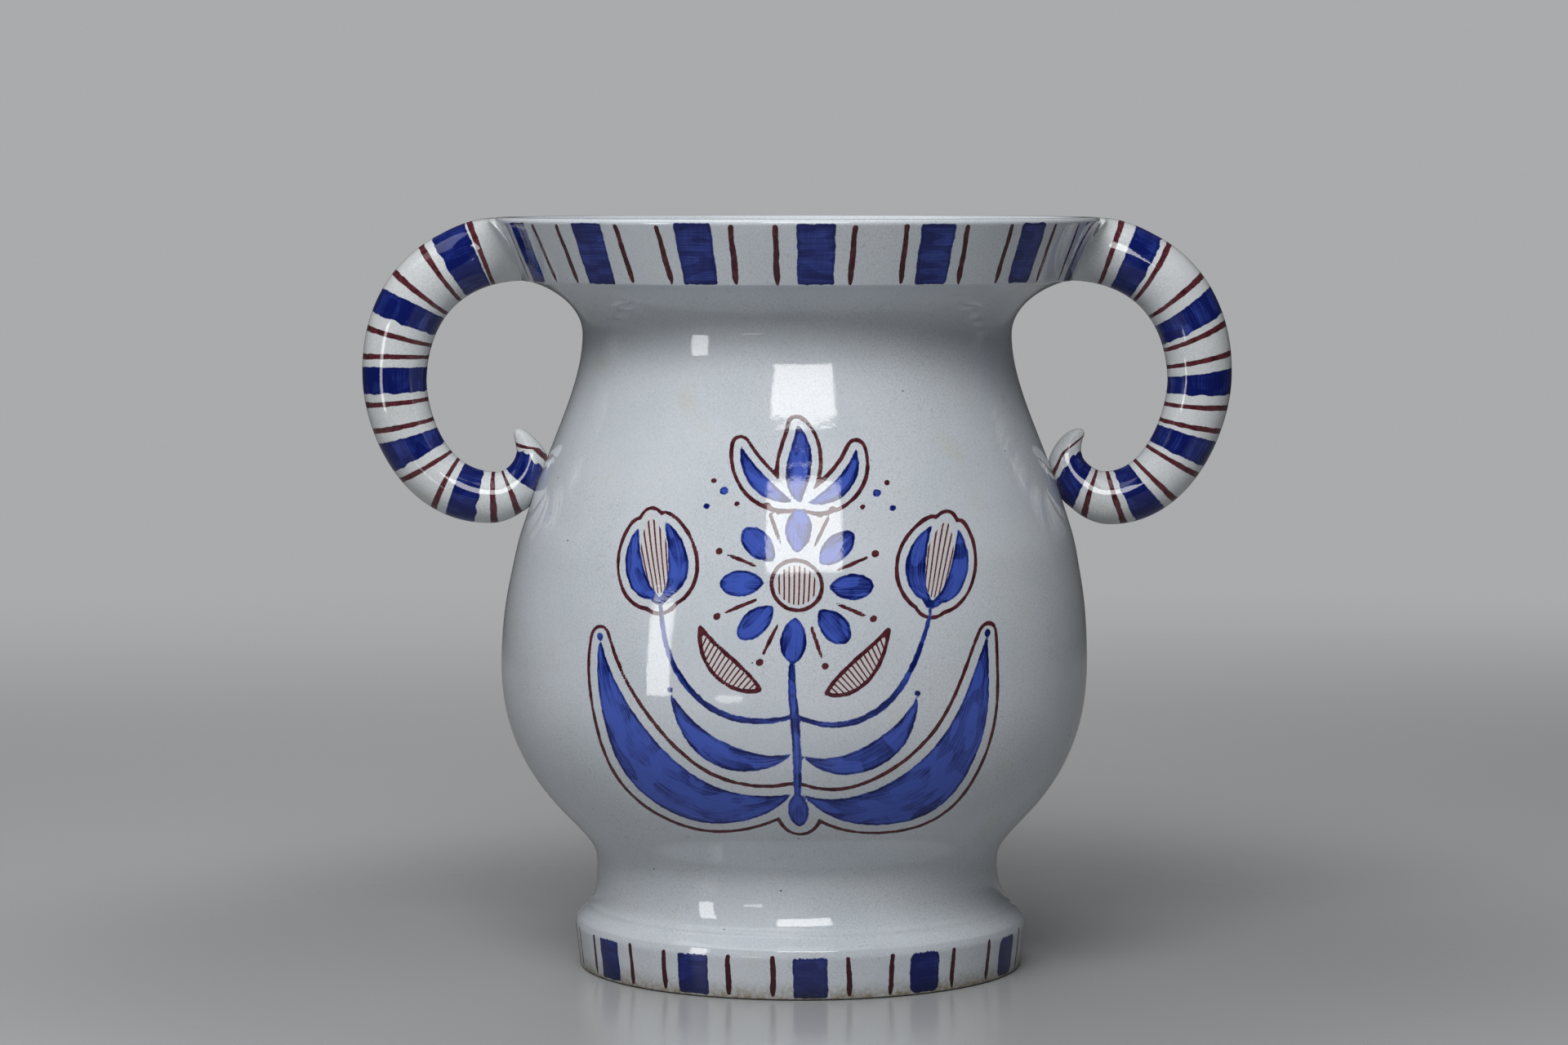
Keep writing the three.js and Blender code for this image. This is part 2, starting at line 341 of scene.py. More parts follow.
@dataclass(frozen=True)
class FolkFlower:
    """A painted plant: swept leaves, a round flower, two tulips and a bud, on a field of white.

    Places are (u, v) in millimetres, right and up from the widest point of the belly at the front.
    """

    line_half: float = 1.18
    leaf_contour: float = 6.6
    tulip_contour: float = 5.2
    bud_contour: float = 5.0
    flower: Point = (0.0, 62.0)
    petals: int = 8
    tulip_base: Point = (80.0, 53.0)
    tulip_tilt: float = 11.0
    heart_pitch: float = 1.9
    disc: float = 12.0
    disc_pitch: float = 0.62
    noise_steps: Point = (61.0, 23.0)

    def leaves(self) -> list[Stroke]:
        """The large leaves, the drop they grow from and the stem."""
        leaf = Stroke(((3, -60), (42, -90), (108, -62), (120, 30)), 16.5, 0.85, 1.12)
        drop = Stroke(((0, -60), (0, -68), (0, -76), (0, -84)), 6.0, 0.7)
        stem = Stroke(((0, -62), (2, -40), (-2, -10), (0, 18)), 2.7, 0.15)
        return both([leaf]) + [drop, stem]

    def small_leaves(self) -> list[Stroke]:
        """The pair of leaves halfway up the stem."""
        return both([Stroke(((2, -34), (24, -50), (62, -36), (72, 0)), 7.6, 0.9, 1.1)])

    def tulip(self) -> list[Stroke]:
        """Two petals and a cup of the right tulip."""
        petal = Stroke(((0, 0), (-17, 5), (-18, 26), (-9, 43)), 6.4, 0.8)
        cup = Stroke(((-7, 3), (-3, -3), (3, -3), (7, 3)), 2.4, 0.4)
        return [s.placed(self.tulip_base, self.tulip_tilt) for s in (petal, petal.mirrored(), cup)]

    def tulip_heart(self) -> Stroke:
        """The hatched middle of the right tulip."""
        heart = Stroke(((0, 2), (0, 14), (0, 32), (0, 47)), 10.0, 0.75)
        return heart.placed(self.tulip_base, self.tulip_tilt)

    def bud(self) -> list[Stroke]:
        """The three leaves of the bud at the top."""
        middle = Stroke(((0, 110), (-7, 124), (6, 140), (0, 156)), 7.0, 0.8, 0.9)
        side = Stroke(((4, 110), (19, 113), (31, 124), (33, 143)), 5.2, 0.85)
        return [middle] + both([side])

    def around_flower(
        self, near: float, far: float, turn: float, widest: float, fullness: float
    ) -> list[Stroke]:
        """Strokes set like spokes round the flower, between two radii.

        Args:
            near: radius at which a stroke starts.
            far: radius at which it ends.
            turn: share of the spacing by which all of them are turned.
            widest: largest half width.
            fullness: how blunt the ends are.

        Returns:
            One stroke for each petal.
        """
        strokes = []
        for number in range(self.petals):
            degrees = 360.0 * (number + turn) / self.petals
            length = far - near
            spoke = tuple((0.0, near + length * share) for share in (0, 0.33, 0.67, 1))
            strokes.append(Stroke(spoke, widest, fullness, 1.2).placed(self.flower, degrees))
        return strokes

    def blue_strokes(self) -> list[Stroke]:
        """Everything filled with blue."""
        stalk = Stroke(((1, -12), (28, -24), (72, -12), (80, 52)), 1.9, 0.15)
        petals = self.around_flower(18.5, 43, 0, 7.6, 0.75)
        dots = [self.dot(44, 116, 2.4), self.dot(54, 107, 1.8), self.dot(120, 31, 2.3), self.dot(72, 1, 1.7)]
        twins = both([stalk] + self.tulip() + dots)
        return self.leaves() + self.small_leaves() + twins + petals + self.bud()

    def dot(self, u: float, v: float, radius: float) -> Stroke:
        """A round dab of the brush."""
        return Stroke(((u - 0.4, v), (u - 0.1, v), (u + 0.1, v), (u + 0.4, v)), radius, 0.05)

    def red_strokes(self) -> list[Stroke]:
        """Open red lines and dots."""
        rays = self.around_flower(24, 44, 0.5, 1.15, 0.2)
        tips = [self.dot(*ray.pulls[3], 2.0) for ray in self.around_flower(24, 48.5, 0.5, 1, 0.2)]
        collar = Stroke(((-13, 102), (-6, 106), (6, 106), (13, 102)), 1.2, 0.25)
        dots = [self.dot(36, 108, 1.6), self.dot(50, 122, 1.6), self.dot(0, -95, 0.8)]
        return rays + tips + [collar] + both(dots)

    def contours(self) -> list[tuple[list[Stroke], float]]:
        """Groups of strokes with the distance at which a red line runs round each of them."""
        heart = self.tulip() + [self.tulip_heart()]
        twin = [stroke.mirrored() for stroke in heart]
        disc = [self.dot(*self.flower, self.disc)]
        return [
            (self.leaves()[:3], self.leaf_contour),
            (heart, self.tulip_contour),
            (twin, self.tulip_contour),
            (self.bud(), self.bud_contour),
            (disc, 2.2),
            ([self.lens().shape], 0.2),
            ([self.lens().shape.mirrored()], 0.2),
        ]

    def lens(self) -> Hatching:
        """The hatched leaflet between the flower and the right stalk."""
        return Hatching(Stroke(((19, 2), (30, 6), (46, 16), (54, 37)), 6.6, 0.9), (90.0, -60.0), 1.75)

    def hatchings(self) -> list[Hatching]:
        """All fields of fine lines."""
        heart, lens = self.tulip_heart(), self.lens()
        root, source = step(self.tulip_base, -68.0, 90 - self.tulip_tilt), lens.source
        return [
            Hatching(heart, root, self.heart_pitch),
            Hatching(heart.mirrored(), (-root[0], root[1]), self.heart_pitch),
            Hatching(self.dot(*self.flower, self.disc), (0.0, -200.0), self.disc_pitch),
            lens,
            Hatching(lens.shape.mirrored(), (-source[0], source[1]), lens.pitch),
        ]

    def paint(self, spots: Array) -> Marks:
        """Works out every mark of the picture.

        The hand wanders by 1 mm or so, sin(v / 29) to the side and sin(u / 33) up, and each stroke
        reads its own part of the brush's noise.

        Args:
            spots: points (u, v) on the unrolled belly.

        Returns:
            One value per spot for the edges, the hatching and the brush.
        """
        u, v = spots.T
        wander = np.column_stack((np.sin(v / 29 + 0.7) * 1.1, np.sin(u / 33 - 0.4) * 1.2))
        spots = spots + wander + 0.5 * np.sin(spots[:, ::-1] / 11.0)
        size = len(spots)
        blue, along, across = np.full(size, FAR), np.zeros(size), np.zeros(size)
        for number, stroke in enumerate(self.blue_strokes()):
            edge, forward, sideways = stroke.measure(spots)
            near = edge < blue
            blue[near] = edge[near]
            along[near] = forward[near] + self.noise_steps[0] * number
            across[near] = sideways[near] + self.noise_steps[1] * number
        red = np.full(size, FAR)
        for stroke in self.red_strokes():
            red = np.minimum(red, stroke.measure(spots)[0])
        for group, offset in self.contours():
            edge = np.min([stroke.measure(spots)[0] for stroke in group], axis=0)
            red = np.minimum(red, np.abs(edge - offset) - self.line_half)
        hatch, turns = np.full(size, FAR), np.zeros(size)
        for field in self.hatchings():
            edge = field.shape.measure(spots)[0]
            near = edge < hatch
            hatch[near] = edge[near]
            turns[near] = field.turns(spots[near])
        return {
            Mark.BLUE: blue,
            Mark.RED: red,
            Mark.HATCH: hatch,
            Mark.HATCH_TURN: turns,
            Mark.ALONG: along,
            Mark.ACROSS: across,
        }


@dataclass(frozen=True)
class Bar:
    """An upright stripe.

    Its angle is in degrees. Half its width, how far its top leans right and how round its corners
    are come in millimetres.
    """

    at: float
    half: float
    slant: float = 0.0
    rounding: float = 1.2


@dataclass(frozen=True)
class Stripes:
    """Upright blue blocks and red lines on a turned band.

    Lengths are in millimetres on the band. A red line swells downwards and ends in a point. The
    paint is heavier by ends[0] at the foot of a block and by ends[1] at its top.
    """

    radius: float
    blue: tuple[Bar, ...]
    red: tuple[Bar, ...]
    blue_span: Point
    red_span: Point
    ends: Point = (0.25, 0.2)
    end_reach: float = 4.0
    point: float = 6.0
    swell: float = 0.3
    uneven: float = 0.35
    wobble: float = 0.16
    fray: float = 0.0
    seed: int = SEED

    def bars(self, around: Array, up: Array, bars: tuple[Bar, ...], span: Point, point: float) -> Array:
        """Distance to the edge of rounded bars: hypot(side, end) outside and the larger of both inside.

        Args:
            around: angle of each point in degrees.
            up: height of each point on the band.
            bars: the stripes.
            span: lowest and highest height of the bars.
            point: length over which the lower ends narrow as a square root, or 0 for blunt ends.

        Returns:
            The distance to the nearest bar's edge, less than 0 inside it.
        """
        rng = np.random.default_rng(self.seed + len(bars))
        nearest = np.full(around.shape, FAR)
        for bar in bars:
            top, base, phase = rng.uniform(-1.0, 1.0, 3)
            low, high = span[0] + self.uneven * base, span[1] + self.uneven * top
            share = (up - low) / (high - low)
            apart = np.radians((around - bar.at + 180.0) % 360.0 - 180.0) * self.radius
            apart = apart - bar.slant * (share - 0.5) + self.wobble * np.sin(up / 3.4 + 6 * phase)
            half, rounding = bar.half, min(bar.rounding, 0.7 * bar.half)
            if point > 0:
                narrow = np.sqrt(np.clip((up - low) / point, 0.0, 1.0))
                half = half * (1 + self.swell * (0.5 - share)) * narrow
            fringe = self.fray * np.sin(apart * 2.3 + 6 * phase) * np.sin(apart * 0.7)
            side = np.abs(apart) - half + rounding
            end = np.maximum(low - up, up - high - fringe) + rounding
            outside = np.hypot(np.maximum(side, 0), np.maximum(end, 0))
            nearest = np.minimum(nearest, outside + np.minimum(np.maximum(side, end), 0) - rounding)
        return nearest

    def paint(self, angles: Array, up: Array, shown: int) -> Marks:
        """Works out the marks of the band.

        Args:
            angles: angle of each column in radians.
            up: height of each row on the band.
            shown: number of rows that carry the stripes, counted from the first.

        Returns:
            Marks for the grid of rows and columns.
        """
        around, height = np.meshgrid(np.degrees(angles), up)
        low, high = self.blue_span
        foot = self.ends[0] * np.exp(-np.maximum(height - low, 0.0) / self.end_reach)
        top = self.ends[1] * np.exp(-np.maximum(high - height, 0.0) / self.end_reach)
        blue = self.bars(around, height, self.blue, self.blue_span, 0.0)
        red = self.bars(around, height, self.red, self.red_span, self.point)
        blue[shown:] = FAR
        red[shown:] = FAR
        return {
            Mark.BLUE: blue,
            Mark.RED: red,
            Mark.ALONG: np.radians(around) * self.radius,
            Mark.ACROSS: height,
            Mark.LOAD: foot + top,
        }


# Glaze


class Graph:
    """Adds nodes to a material and joins them."""

    def __init__(self, material: bpy.types.Material | bpy.types.World) -> None:
        """Starts with an empty graph."""
        material.use_nodes = True
        self.tree = material.node_tree
        self.tree.nodes.clear()

    @cached_property
    def place(self) -> Socket:
        """Coordinates on the object, in metres."""
        return self.add("TexCoord", {}).outputs["Object"]

    @cached_property
    def uneven(self) -> Socket:
        """Fine noise that frays the edges of the paint."""
        return self.noise(1800, 1)

    def add(self, kind: str, inputs: dict, settings: dict | None = None) -> bpy.types.Node:
        """Adds a node.

        Args:
            kind: the node's type, without its ShaderNode prefix.
            inputs: a value, or a socket to join, for each input by name or number.
            settings: the node's own options.

        Returns:
            The node.
        """
        node = self.tree.nodes.new("ShaderNode" + kind)
        for key, value in (settings or {}).items():
            setattr(node, key, value)
        for key, value in inputs.items():
            if isinstance(value, Socket):
                self.tree.links.new(value, node.inputs[key])
            else:
                node.inputs[key].default_value = value
        return node

    def math(self, operation: str, *values: Value) -> Socket:
        """The result of a sum on numbers."""
        return self.add("Math", dict(enumerate(values)), {"operation": operation}).outputs[0]

    def total(self, first: Value, *others: Value) -> Socket:
        """All the values added up."""
        for other in others:
            first = self.math("ADD", first, other)
        return first

    def sway(self, value: Socket, amount: float) -> Socket:
        """A noise value as a push to either side: amount (value - 1/2)."""
        return self.math("MULTIPLY_ADD", value, amount, -amount / 2)

    def mark(self, mark: Mark) -> Socket:
        """A value kept at the mesh's points."""
        return self.add("Attribute", {}, {"attribute_name": mark.value}).outputs["Fac"]

    def ramp(self, value: Value, low: float, high: float, start: float = 0.0, end: float = 1.0) -> Socket:
        """A smooth change from start at low to end at high."""
        inputs = {0: value, 1: low, 2: high, 3: start, 4: end}
        return self.add("MapRange", inputs, {"interpolation_type": "SMOOTHSTEP"}).outputs[0]

    def blend(self, share: Value, first: object, second: object, kind: str = "MIX") -> Socket:
        """First colour where share is 0, second (or their product, with kind MULTIPLY) where it is 1."""
        first, second = (c if isinstance(c, Socket) else (*c, 1.0) for c in (first, second))
        settings = {"data_type": "RGBA", "blend_type": kind}
        return self.add("Mix", {0: share, 6: first, 7: second}, settings).outputs[2]

    def noise(self, scale: float, detail: float = 2.0, vector: Socket | None = None) -> Socket:
        """Cloudy noise around one half, over the object's own coordinates unless others are given."""
        vector = self.place if vector is None else vector
        return self.add("TexNoise", {"Vector": vector, "Scale": scale, "Detail": detail}).outputs[0]

    def stretched(self, vector: Socket, scale: tuple[float, float, float], detail: float) -> Socket:
        """Noise that is drawn out along some axes."""
        return self.noise(1.0, detail, self.add("Mapping", {"Vector": vector, "Scale": scale}).outputs[0])


@dataclass(frozen=True)
class Glaze:
    """White tin glaze with brushed blue and red, crazed and a little worn.

    Its colours come first. paint_load and red_load say how heavy the paint lies, streaks how
    unevenly, pool how much gathers along its edge and middle how much lies inside it.
    """

    name: str
    slot: str
    white: Colour = (0.60, 0.64, 0.69)
    cloudy: Colour = (0.56, 0.61, 0.66)
    yellowed: Colour = (0.58, 0.575, 0.50)
    grain: Colour = (0.42, 0.44, 0.45)
    crack: Colour = (0.30, 0.30, 0.30)
    speck: Colour = (0.02, 0.018, 0.02)
    blue_thin: Colour = (0.052, 0.100, 0.47)
    blue_deep: Colour = (0.003, 0.008, 0.10)
    red_thin: Colour = (0.098, 0.022, 0.030)
    red_deep: Colour = (0.045, 0.007, 0.012)
    hatched: Colour = (0.62, 0.55, 0.54)
    soil: Colour = (0.22, 0.175, 0.115)
    dirt: Colour = (0.42, 0.33, 0.22)
    # Near-black of the painted contact shadow along the bottom edge of the foot, where it meets the floor
    painted_contact_shadow: Colour = (0.05, 0.045, 0.04)
    clay: Colour = (0.50, 0.34, 0.22)
    paint_load: float = 0.5
    red_load: float = 0.0
    streaks: float = 1.0
    pool: float = 0.3
    middle: float = 0.0
    # Turns on the dirt near the floor and the painted contact shadow at the foot's bottom edge
    soiled_and_shadowed_foot: bool = False
    refraction: float = 1.54
    relief_depth: float = 0.00006

    def material(self, marks: Marks) -> bpy.types.Material:
        """Builds the glaze for a piece with the given marks."""
        material = bpy.data.materials.new(self.name)
        g = Graph(material)
        colour = self.ground(g)
        for mark, paint in ((Mark.HATCH, self.hatch), (Mark.RED, self.red), (Mark.BLUE, self.blue)):
            if mark in marks:
                colour = paint(g, colour)
        rough = g.ramp(g.noise(60), 0.3, 0.7, 0.035, 0.065)
        colour, rough = self.wear_and_contact_shadow(g, colour, rough, marks)
        inputs = {"Base Color": colour, "Roughness": rough, "IOR": self.refraction, "Normal": self.relief(g)}
        g.add("OutputMaterial", {"Surface": g.add("BsdfPrincipled", inputs).outputs[0]})
        return material

    def ground(self, g: Graph) -> Socket:
        """White with cloudy and yellowish patches, fine grain and crazing, and a few black pinholes."""
        colour = g.blend(g.ramp(g.noise(22, 3), 0.35, 0.7), self.white, self.cloudy)
        colour = g.blend(g.ramp(g.noise(31, 4), 0.60, 0.76, 0.0, 0.45), colour, self.yellowed)
        colour = g.blend(g.ramp(g.noise(900, 2), 0.42, 0.66, 0.0, 0.24), colour, self.grain)
        net = g.add("TexVoronoi", {"Vector": g.place, "Scale": 480}, {"feature": "DISTANCE_TO_EDGE"})
        crack = g.ramp(net.outputs["Distance"], 0.0, 0.07, 1.0, 0.0)
        patchy = g.ramp(g.noise(14), 0.3, 0.65, 0.14, 0.42)
        colour = g.blend(g.math("MULTIPLY", crack, patchy), colour, self.crack)
        holes = g.add("TexVoronoi", {"Vector": g.place, "Scale": 40})
        return g.blend(g.ramp(holes.outputs["Distance"], 0.016, 0.026, 1.0, 0.0), colour, self.speck)

    def hatch(self, g: Graph, colour: Socket) -> Socket:
        """Fine red lines inside the hatched fields."""
        away = g.math("ABSOLUTE", g.math("SUBTRACT", g.math("FRACT", g.mark(Mark.HATCH_TURN)), 0.5))
        line = g.ramp(g.math("ADD", away, g.sway(g.uneven, 0.16)), 0.13, 0.20, 1.0, 0.0)
        inside = g.ramp(g.mark(Mark.HATCH), -0.9, -0.6, 1.0, 0.0)
        warm = g.blend(g.math("MULTIPLY", inside, 0.6), colour, self.hatched)
        return g.blend(g.math("MULTIPLY", line, inside), warm, self.red_thin)

    def red(self, g: Graph, colour: Socket) -> Socket:
        """Red lines whose width and strength wander a little."""
        edge = g.total(g.mark(Mark.RED), g.sway(g.noise(160), 1.2), g.sway(g.uneven, 0.45))
        load = g.math("ADD", g.noise(260, 3), self.red_load)
        paint = g.blend(g.ramp(load, 0.35, 0.68), self.red_thin, self.red_deep)
        return g.blend(g.ramp(edge, -0.18, 0.18, 1.0, 0.0), colour, paint)

    def blue(self, g: Graph, colour: Socket) -> Socket:
        """Brushed blue, streaked along the stroke, with laps of the brush and its own edge and middle."""
        brush = g.add("CombineXYZ", {0: g.mark(Mark.ALONG), 1: g.mark(Mark.ACROSS)}).outputs[0]
        heavy = 0.12 * self.streaks
        edge = g.total(g.mark(Mark.BLUE), g.sway(g.noise(240), 1.5), g.sway(g.uneven, 0.6))
        load = g.total(
            g.sway(g.stretched(brush, (0.03, 1.3, 1), 3), self.streaks),
            g.sway(g.noise(75, 3), 0.8 * self.streaks),
            g.sway(g.stretched(brush, (0.5, 0.05, 1), 2), 0.2),
            g.ramp(g.stretched(brush, (0.05, 0.14, 1), 0), 0.49, 0.53, -heavy, heavy),
            g.ramp(g.math("ABSOLUTE", g.math("ADD", edge, 0.9)), 0.2, 1.3, self.pool, 0.0),
            g.ramp(edge, -9.0, -1.5, self.middle, 0.0),
            g.mark(Mark.LOAD),
            self.paint_load,
        )
        paint = g.blend(g.ramp(load, 0.0, 1.0), self.blue_thin, self.blue_deep)
        return g.blend(g.ramp(edge, -0.3, 0.22, 1.0, 0.0), colour, paint)

    def wear_and_contact_shadow(self, g: Graph, colour: Socket, rough: Socket, marks: Marks) -> tuple[Socket, Socket]:
        """Dirt near the floor and in the joints, a painted contact shadow at the foot's bottom edge, and bare
        clay where the glaze was wiped off.

        Args:
            g: the graph.
            colour: colour so far.
            rough: roughness so far.
            marks: what the piece's points hold.

        Returns:
            The new colour and roughness.
        """
        grain = g.noise(420, 4)
        if self.soiled_and_shadowed_foot:
            height = g.add("SeparateXYZ", {0: g.place}).outputs[2]
            ragged = g.math("ADD", height, g.sway(g.noise(45, 4), 0.010))
            haze, low = g.ramp(ragged, 0.0, 0.0135, 0.8, 0.0), g.ramp(ragged, 0.0, 0.0045, 0.35, 0.0)
            dirty = g.math("MULTIPLY", g.math("ADD", haze, low), g.ramp(grain, 0.36, 0.62, 0.5, 1.0))
            colour = g.blend(dirty, colour, self.dirt, "MULTIPLY")
            # Painted contact shadow: the bottom millimetre of the foot, where it meets the floor, turns near
            # black
            colour = g.blend(g.ramp(height, 0.0005, 0.0013, 1.0, 0.0), colour, self.painted_contact_shadow)
            rough = g.math("MULTIPLY_ADD", dirty, 0.35, rough)
        if Mark.STAIN in marks:
            stain = g.math("MULTIPLY", g.mark(Mark.STAIN), g.ramp(grain, 0.38, 0.60, 0.2, 1.0))
            colour = g.blend(stain, colour, self.soil)
            rough = g.math("MULTIPLY_ADD", stain, 0.3, rough)
        if Mark.CLAY in marks:
            bare = g.ramp(g.math("ADD", g.sway(grain, 0.5), g.mark(Mark.CLAY)), 0.4, 0.6)
            earth = g.blend(g.ramp(grain, 0.3, 0.7), self.clay, tuple(0.72 * c for c in self.clay))
            colour = g.blend(bare, colour, earth)
            rough = g.math("MULTIPLY_ADD", bare, 0.75, rough)
        return colour, rough

    def relief(self, g: Graph) -> Socket:
        """Faint waves and fine peel of the glaze, and level ripples from the wheel."""
        height = g.total(
            g.sway(g.noise(190, 2), 0.6),
            g.sway(g.noise(950, 1), 0.16),
            g.sway(g.stretched(g.place, (8, 8, 130), 1), 0.8),
            g.sway(g.noise(28, 1), 1.6),
        )
        return g.add("Bump", {"Strength": 1.0, "Distance": self.relief_depth, "Height": height}).outputs[0]


# The pieces of the pot


@dataclass
class Belly:
    """Thrown body: bowl, belly, shoulder and neck, with a floor and a flange for the collar."""

    glaze: Glaze
    picture: FolkFlower
    wall: float = 9.0
    waist_radius: float = 120.9
    waist_z: float = 60.0
    floor_z: float = 73.0
    turn_radius: float = 139.6
    turn_z: float = 92.0
    turn_slope: float = 46.0
    turn_pull: float = 24.4
    waist_fullness: float = 11.6
    bowl_fullness: float = 31.9
    belly_radius: float = 176.3
    belly_z: float = 182.0
    fullness_below: float = 39.5
    fullness_above: float = 98.4
    neck_radius: float = 128.6
    neck_z: float = 380.4
    neck_fullness: float = 48.4
    flange_radius: float = 160.8
    flange_z: float = 412.0
    flange_slope: float = 15.0
    flange_fullness: float = 16.0
    seat_lap: float = 0.35
    ripple: float = 0.3
    ripple_z: float = 257.5
    ripple_length: float = 48.0
    ripple_fade: float = 22.0
    floor_round: float = 12.0
    chamfer: float = 0.8
    picture_low: float = 90.0
    picture_high: float = 345.0
    picture_half: float = 140.0
    paint_low: float = 85.0
    paint_high: float = 352.0
    fine: float = 1.42
    coarse: float = 7.0
    rows_below: int = 16
    rows_above: int = 34
    first_row: float = 2.2
    row_gap: float = 2.0
    inner_spacing: float = 8.0

    def outer(self) -> Array:
        """Outer line from the waist to the flange: four sweeps that share their tangents.

        The wheel left a ripple on the shoulder: ripple cos(2 pi d / length) exp(-(d / fade)^2), with
        d the height above its crest.
        """
        waist, flange = (self.waist_radius, self.waist_z), (self.flange_radius, self.flange_z)
        turn, belly = (self.turn_radius, self.turn_z), (self.belly_radius, self.belly_z)
        neck = (self.neck_radius, self.neck_z)
        slope, pull = self.turn_slope, self.flange_fullness
        sweeps = (
            (waist, step(waist, self.waist_fullness, 90), step(turn, -self.turn_pull, slope), turn),
            (turn, step(turn, self.bowl_fullness, slope), step(belly, -self.fullness_below, 90), belly),
            (belly, step(belly, self.fullness_above, 90), step(neck, -self.neck_fullness, 90), neck),
            (neck, step(neck, pull, 90), step(flange, -pull, self.flange_slope), flange),
        )
        line = chain(*(bezier(sweep) for sweep in sweeps))
        above = line[:, 1] - self.ripple_z
        wave = np.cos(2 * np.pi * above / self.ripple_length) * np.exp(-((above / self.ripple_fade) ** 2))
        line[:, 0] += self.ripple * wave
        return line

    def inner(self) -> Array:
        """Inner line, one wall inside the outer one, from the flange down to the rounded floor."""
        line = self.outer()
        ahead = headings(line)
        moved = line + self.wall * np.column_stack((-ahead[:, 1], ahead[:, 0]))
        inside = moved[(moved[:, 1] > self.floor_z + self.floor_round) & (moved[:, 1] < self.flange_z)]
        top = np.array([(across_at(moved, self.flange_z), self.flange_z + self.seat_lap)])
        low = tuple(inside[0])
        knee, flat = (low[0] - 6.0, self.floor_z), (low[0] - 20.0, self.floor_z)
        floor = bezier((low, (low[0] - 3, low[1] - 8), knee, flat), 8)
        return chain(top, even(inside[::-1], self.inner_spacing), floor)

    def rows(self) -> Array:
        """Lengths along the outer line for the rows, close together where the picture is."""
        line = self.outer()
        along = arc_length(line)
        low, high = np.interp([self.picture_low, self.picture_high], line[:, 1], along)
        below = np.linspace(self.first_row, low, self.rows_below, endpoint=False)
        picture = np.arange(low, high, self.fine)
        above = np.linspace(picture[-1] + self.row_gap, along[-1], self.rows_above)
        return np.r_[0.0, HOLD, below, picture, above]

    def angles(self) -> Array:
        """Angles of the columns, close together across the picture."""
        half = self.picture_half / self.belly_radius
        count = round(2 * self.picture_half / self.fine)
        behind = round((2 * np.pi - 2 * half) * self.belly_radius / self.coarse)
        front = np.linspace(-half, half, count, endpoint=False)
        return np.r_[front, np.linspace(half, 2 * np.pi - half, behind, endpoint=False)]

    def build(self) -> bpy.types.Object:
        """Turns the section and paints the picture on its front."""
        outer = at_lengths(self.outer(), self.rows())
        outer[-1, 1] += self.seat_lap
        under = (40.0, 105.0, self.waist_radius - self.chamfer)
        underside = np.array([(radius, self.waist_z) for radius in under])
        inner = self.inner()
        floor = np.array([(inner[-1, 0] * share, self.floor_z) for share in (0.66, 0.33)])
        profile = np.vstack((underside, outer, inner, floor))
        angles = self.angles()
        return skin(
            "glazed_body",
            "body",
            self.glaze,
            self.marks(profile, angles, len(underside), len(outer)),
            revolve(profile, angles),
            start=np.array([0.0, 0.0, self.waist_z]),
            end=np.array([0.0, 0.0, self.floor_z]),
            sharp=creases(profile, False),
        )

    def marks(self, profile: Array, angles: Array, first: int, count: int) -> Marks:
        """Marks for the whole grid, with the picture on the front of the outer rows.

        Args:
            profile: the whole section.
            angles: angles of the columns.
            first: first row of the outer side.
            count: number of rows of the outer side.

        Returns:
            The marks.
        """
        shape = (len(profile), len(angles))
        outside = slice(first, first + count)
        radii, heights = profile[outside].T
        along = arc_length(profile[outside])
        up = along - np.interp(self.belly_z, heights, along)
        u = radii[:, None] * ((angles + np.pi) % (2 * np.pi) - np.pi)
        v = np.broadcast_to(up[:, None], u.shape)
        level = (heights > self.paint_low) & (heights < self.paint_high)
        close = (np.abs(u) < self.picture_half) & level[:, None]
        marks = {}
        for mark, values in self.picture.paint(np.column_stack((u[close], v[close]))).items():
            marks[mark] = np.full(shape, FAR if mark in (Mark.BLUE, Mark.RED, Mark.HATCH) else 0.0)
            marks[mark][outside][close] = values
        marks[Mark.CLAY] = np.zeros(shape)
        marks[Mark.CLAY][:first] = 1.0
        return marks


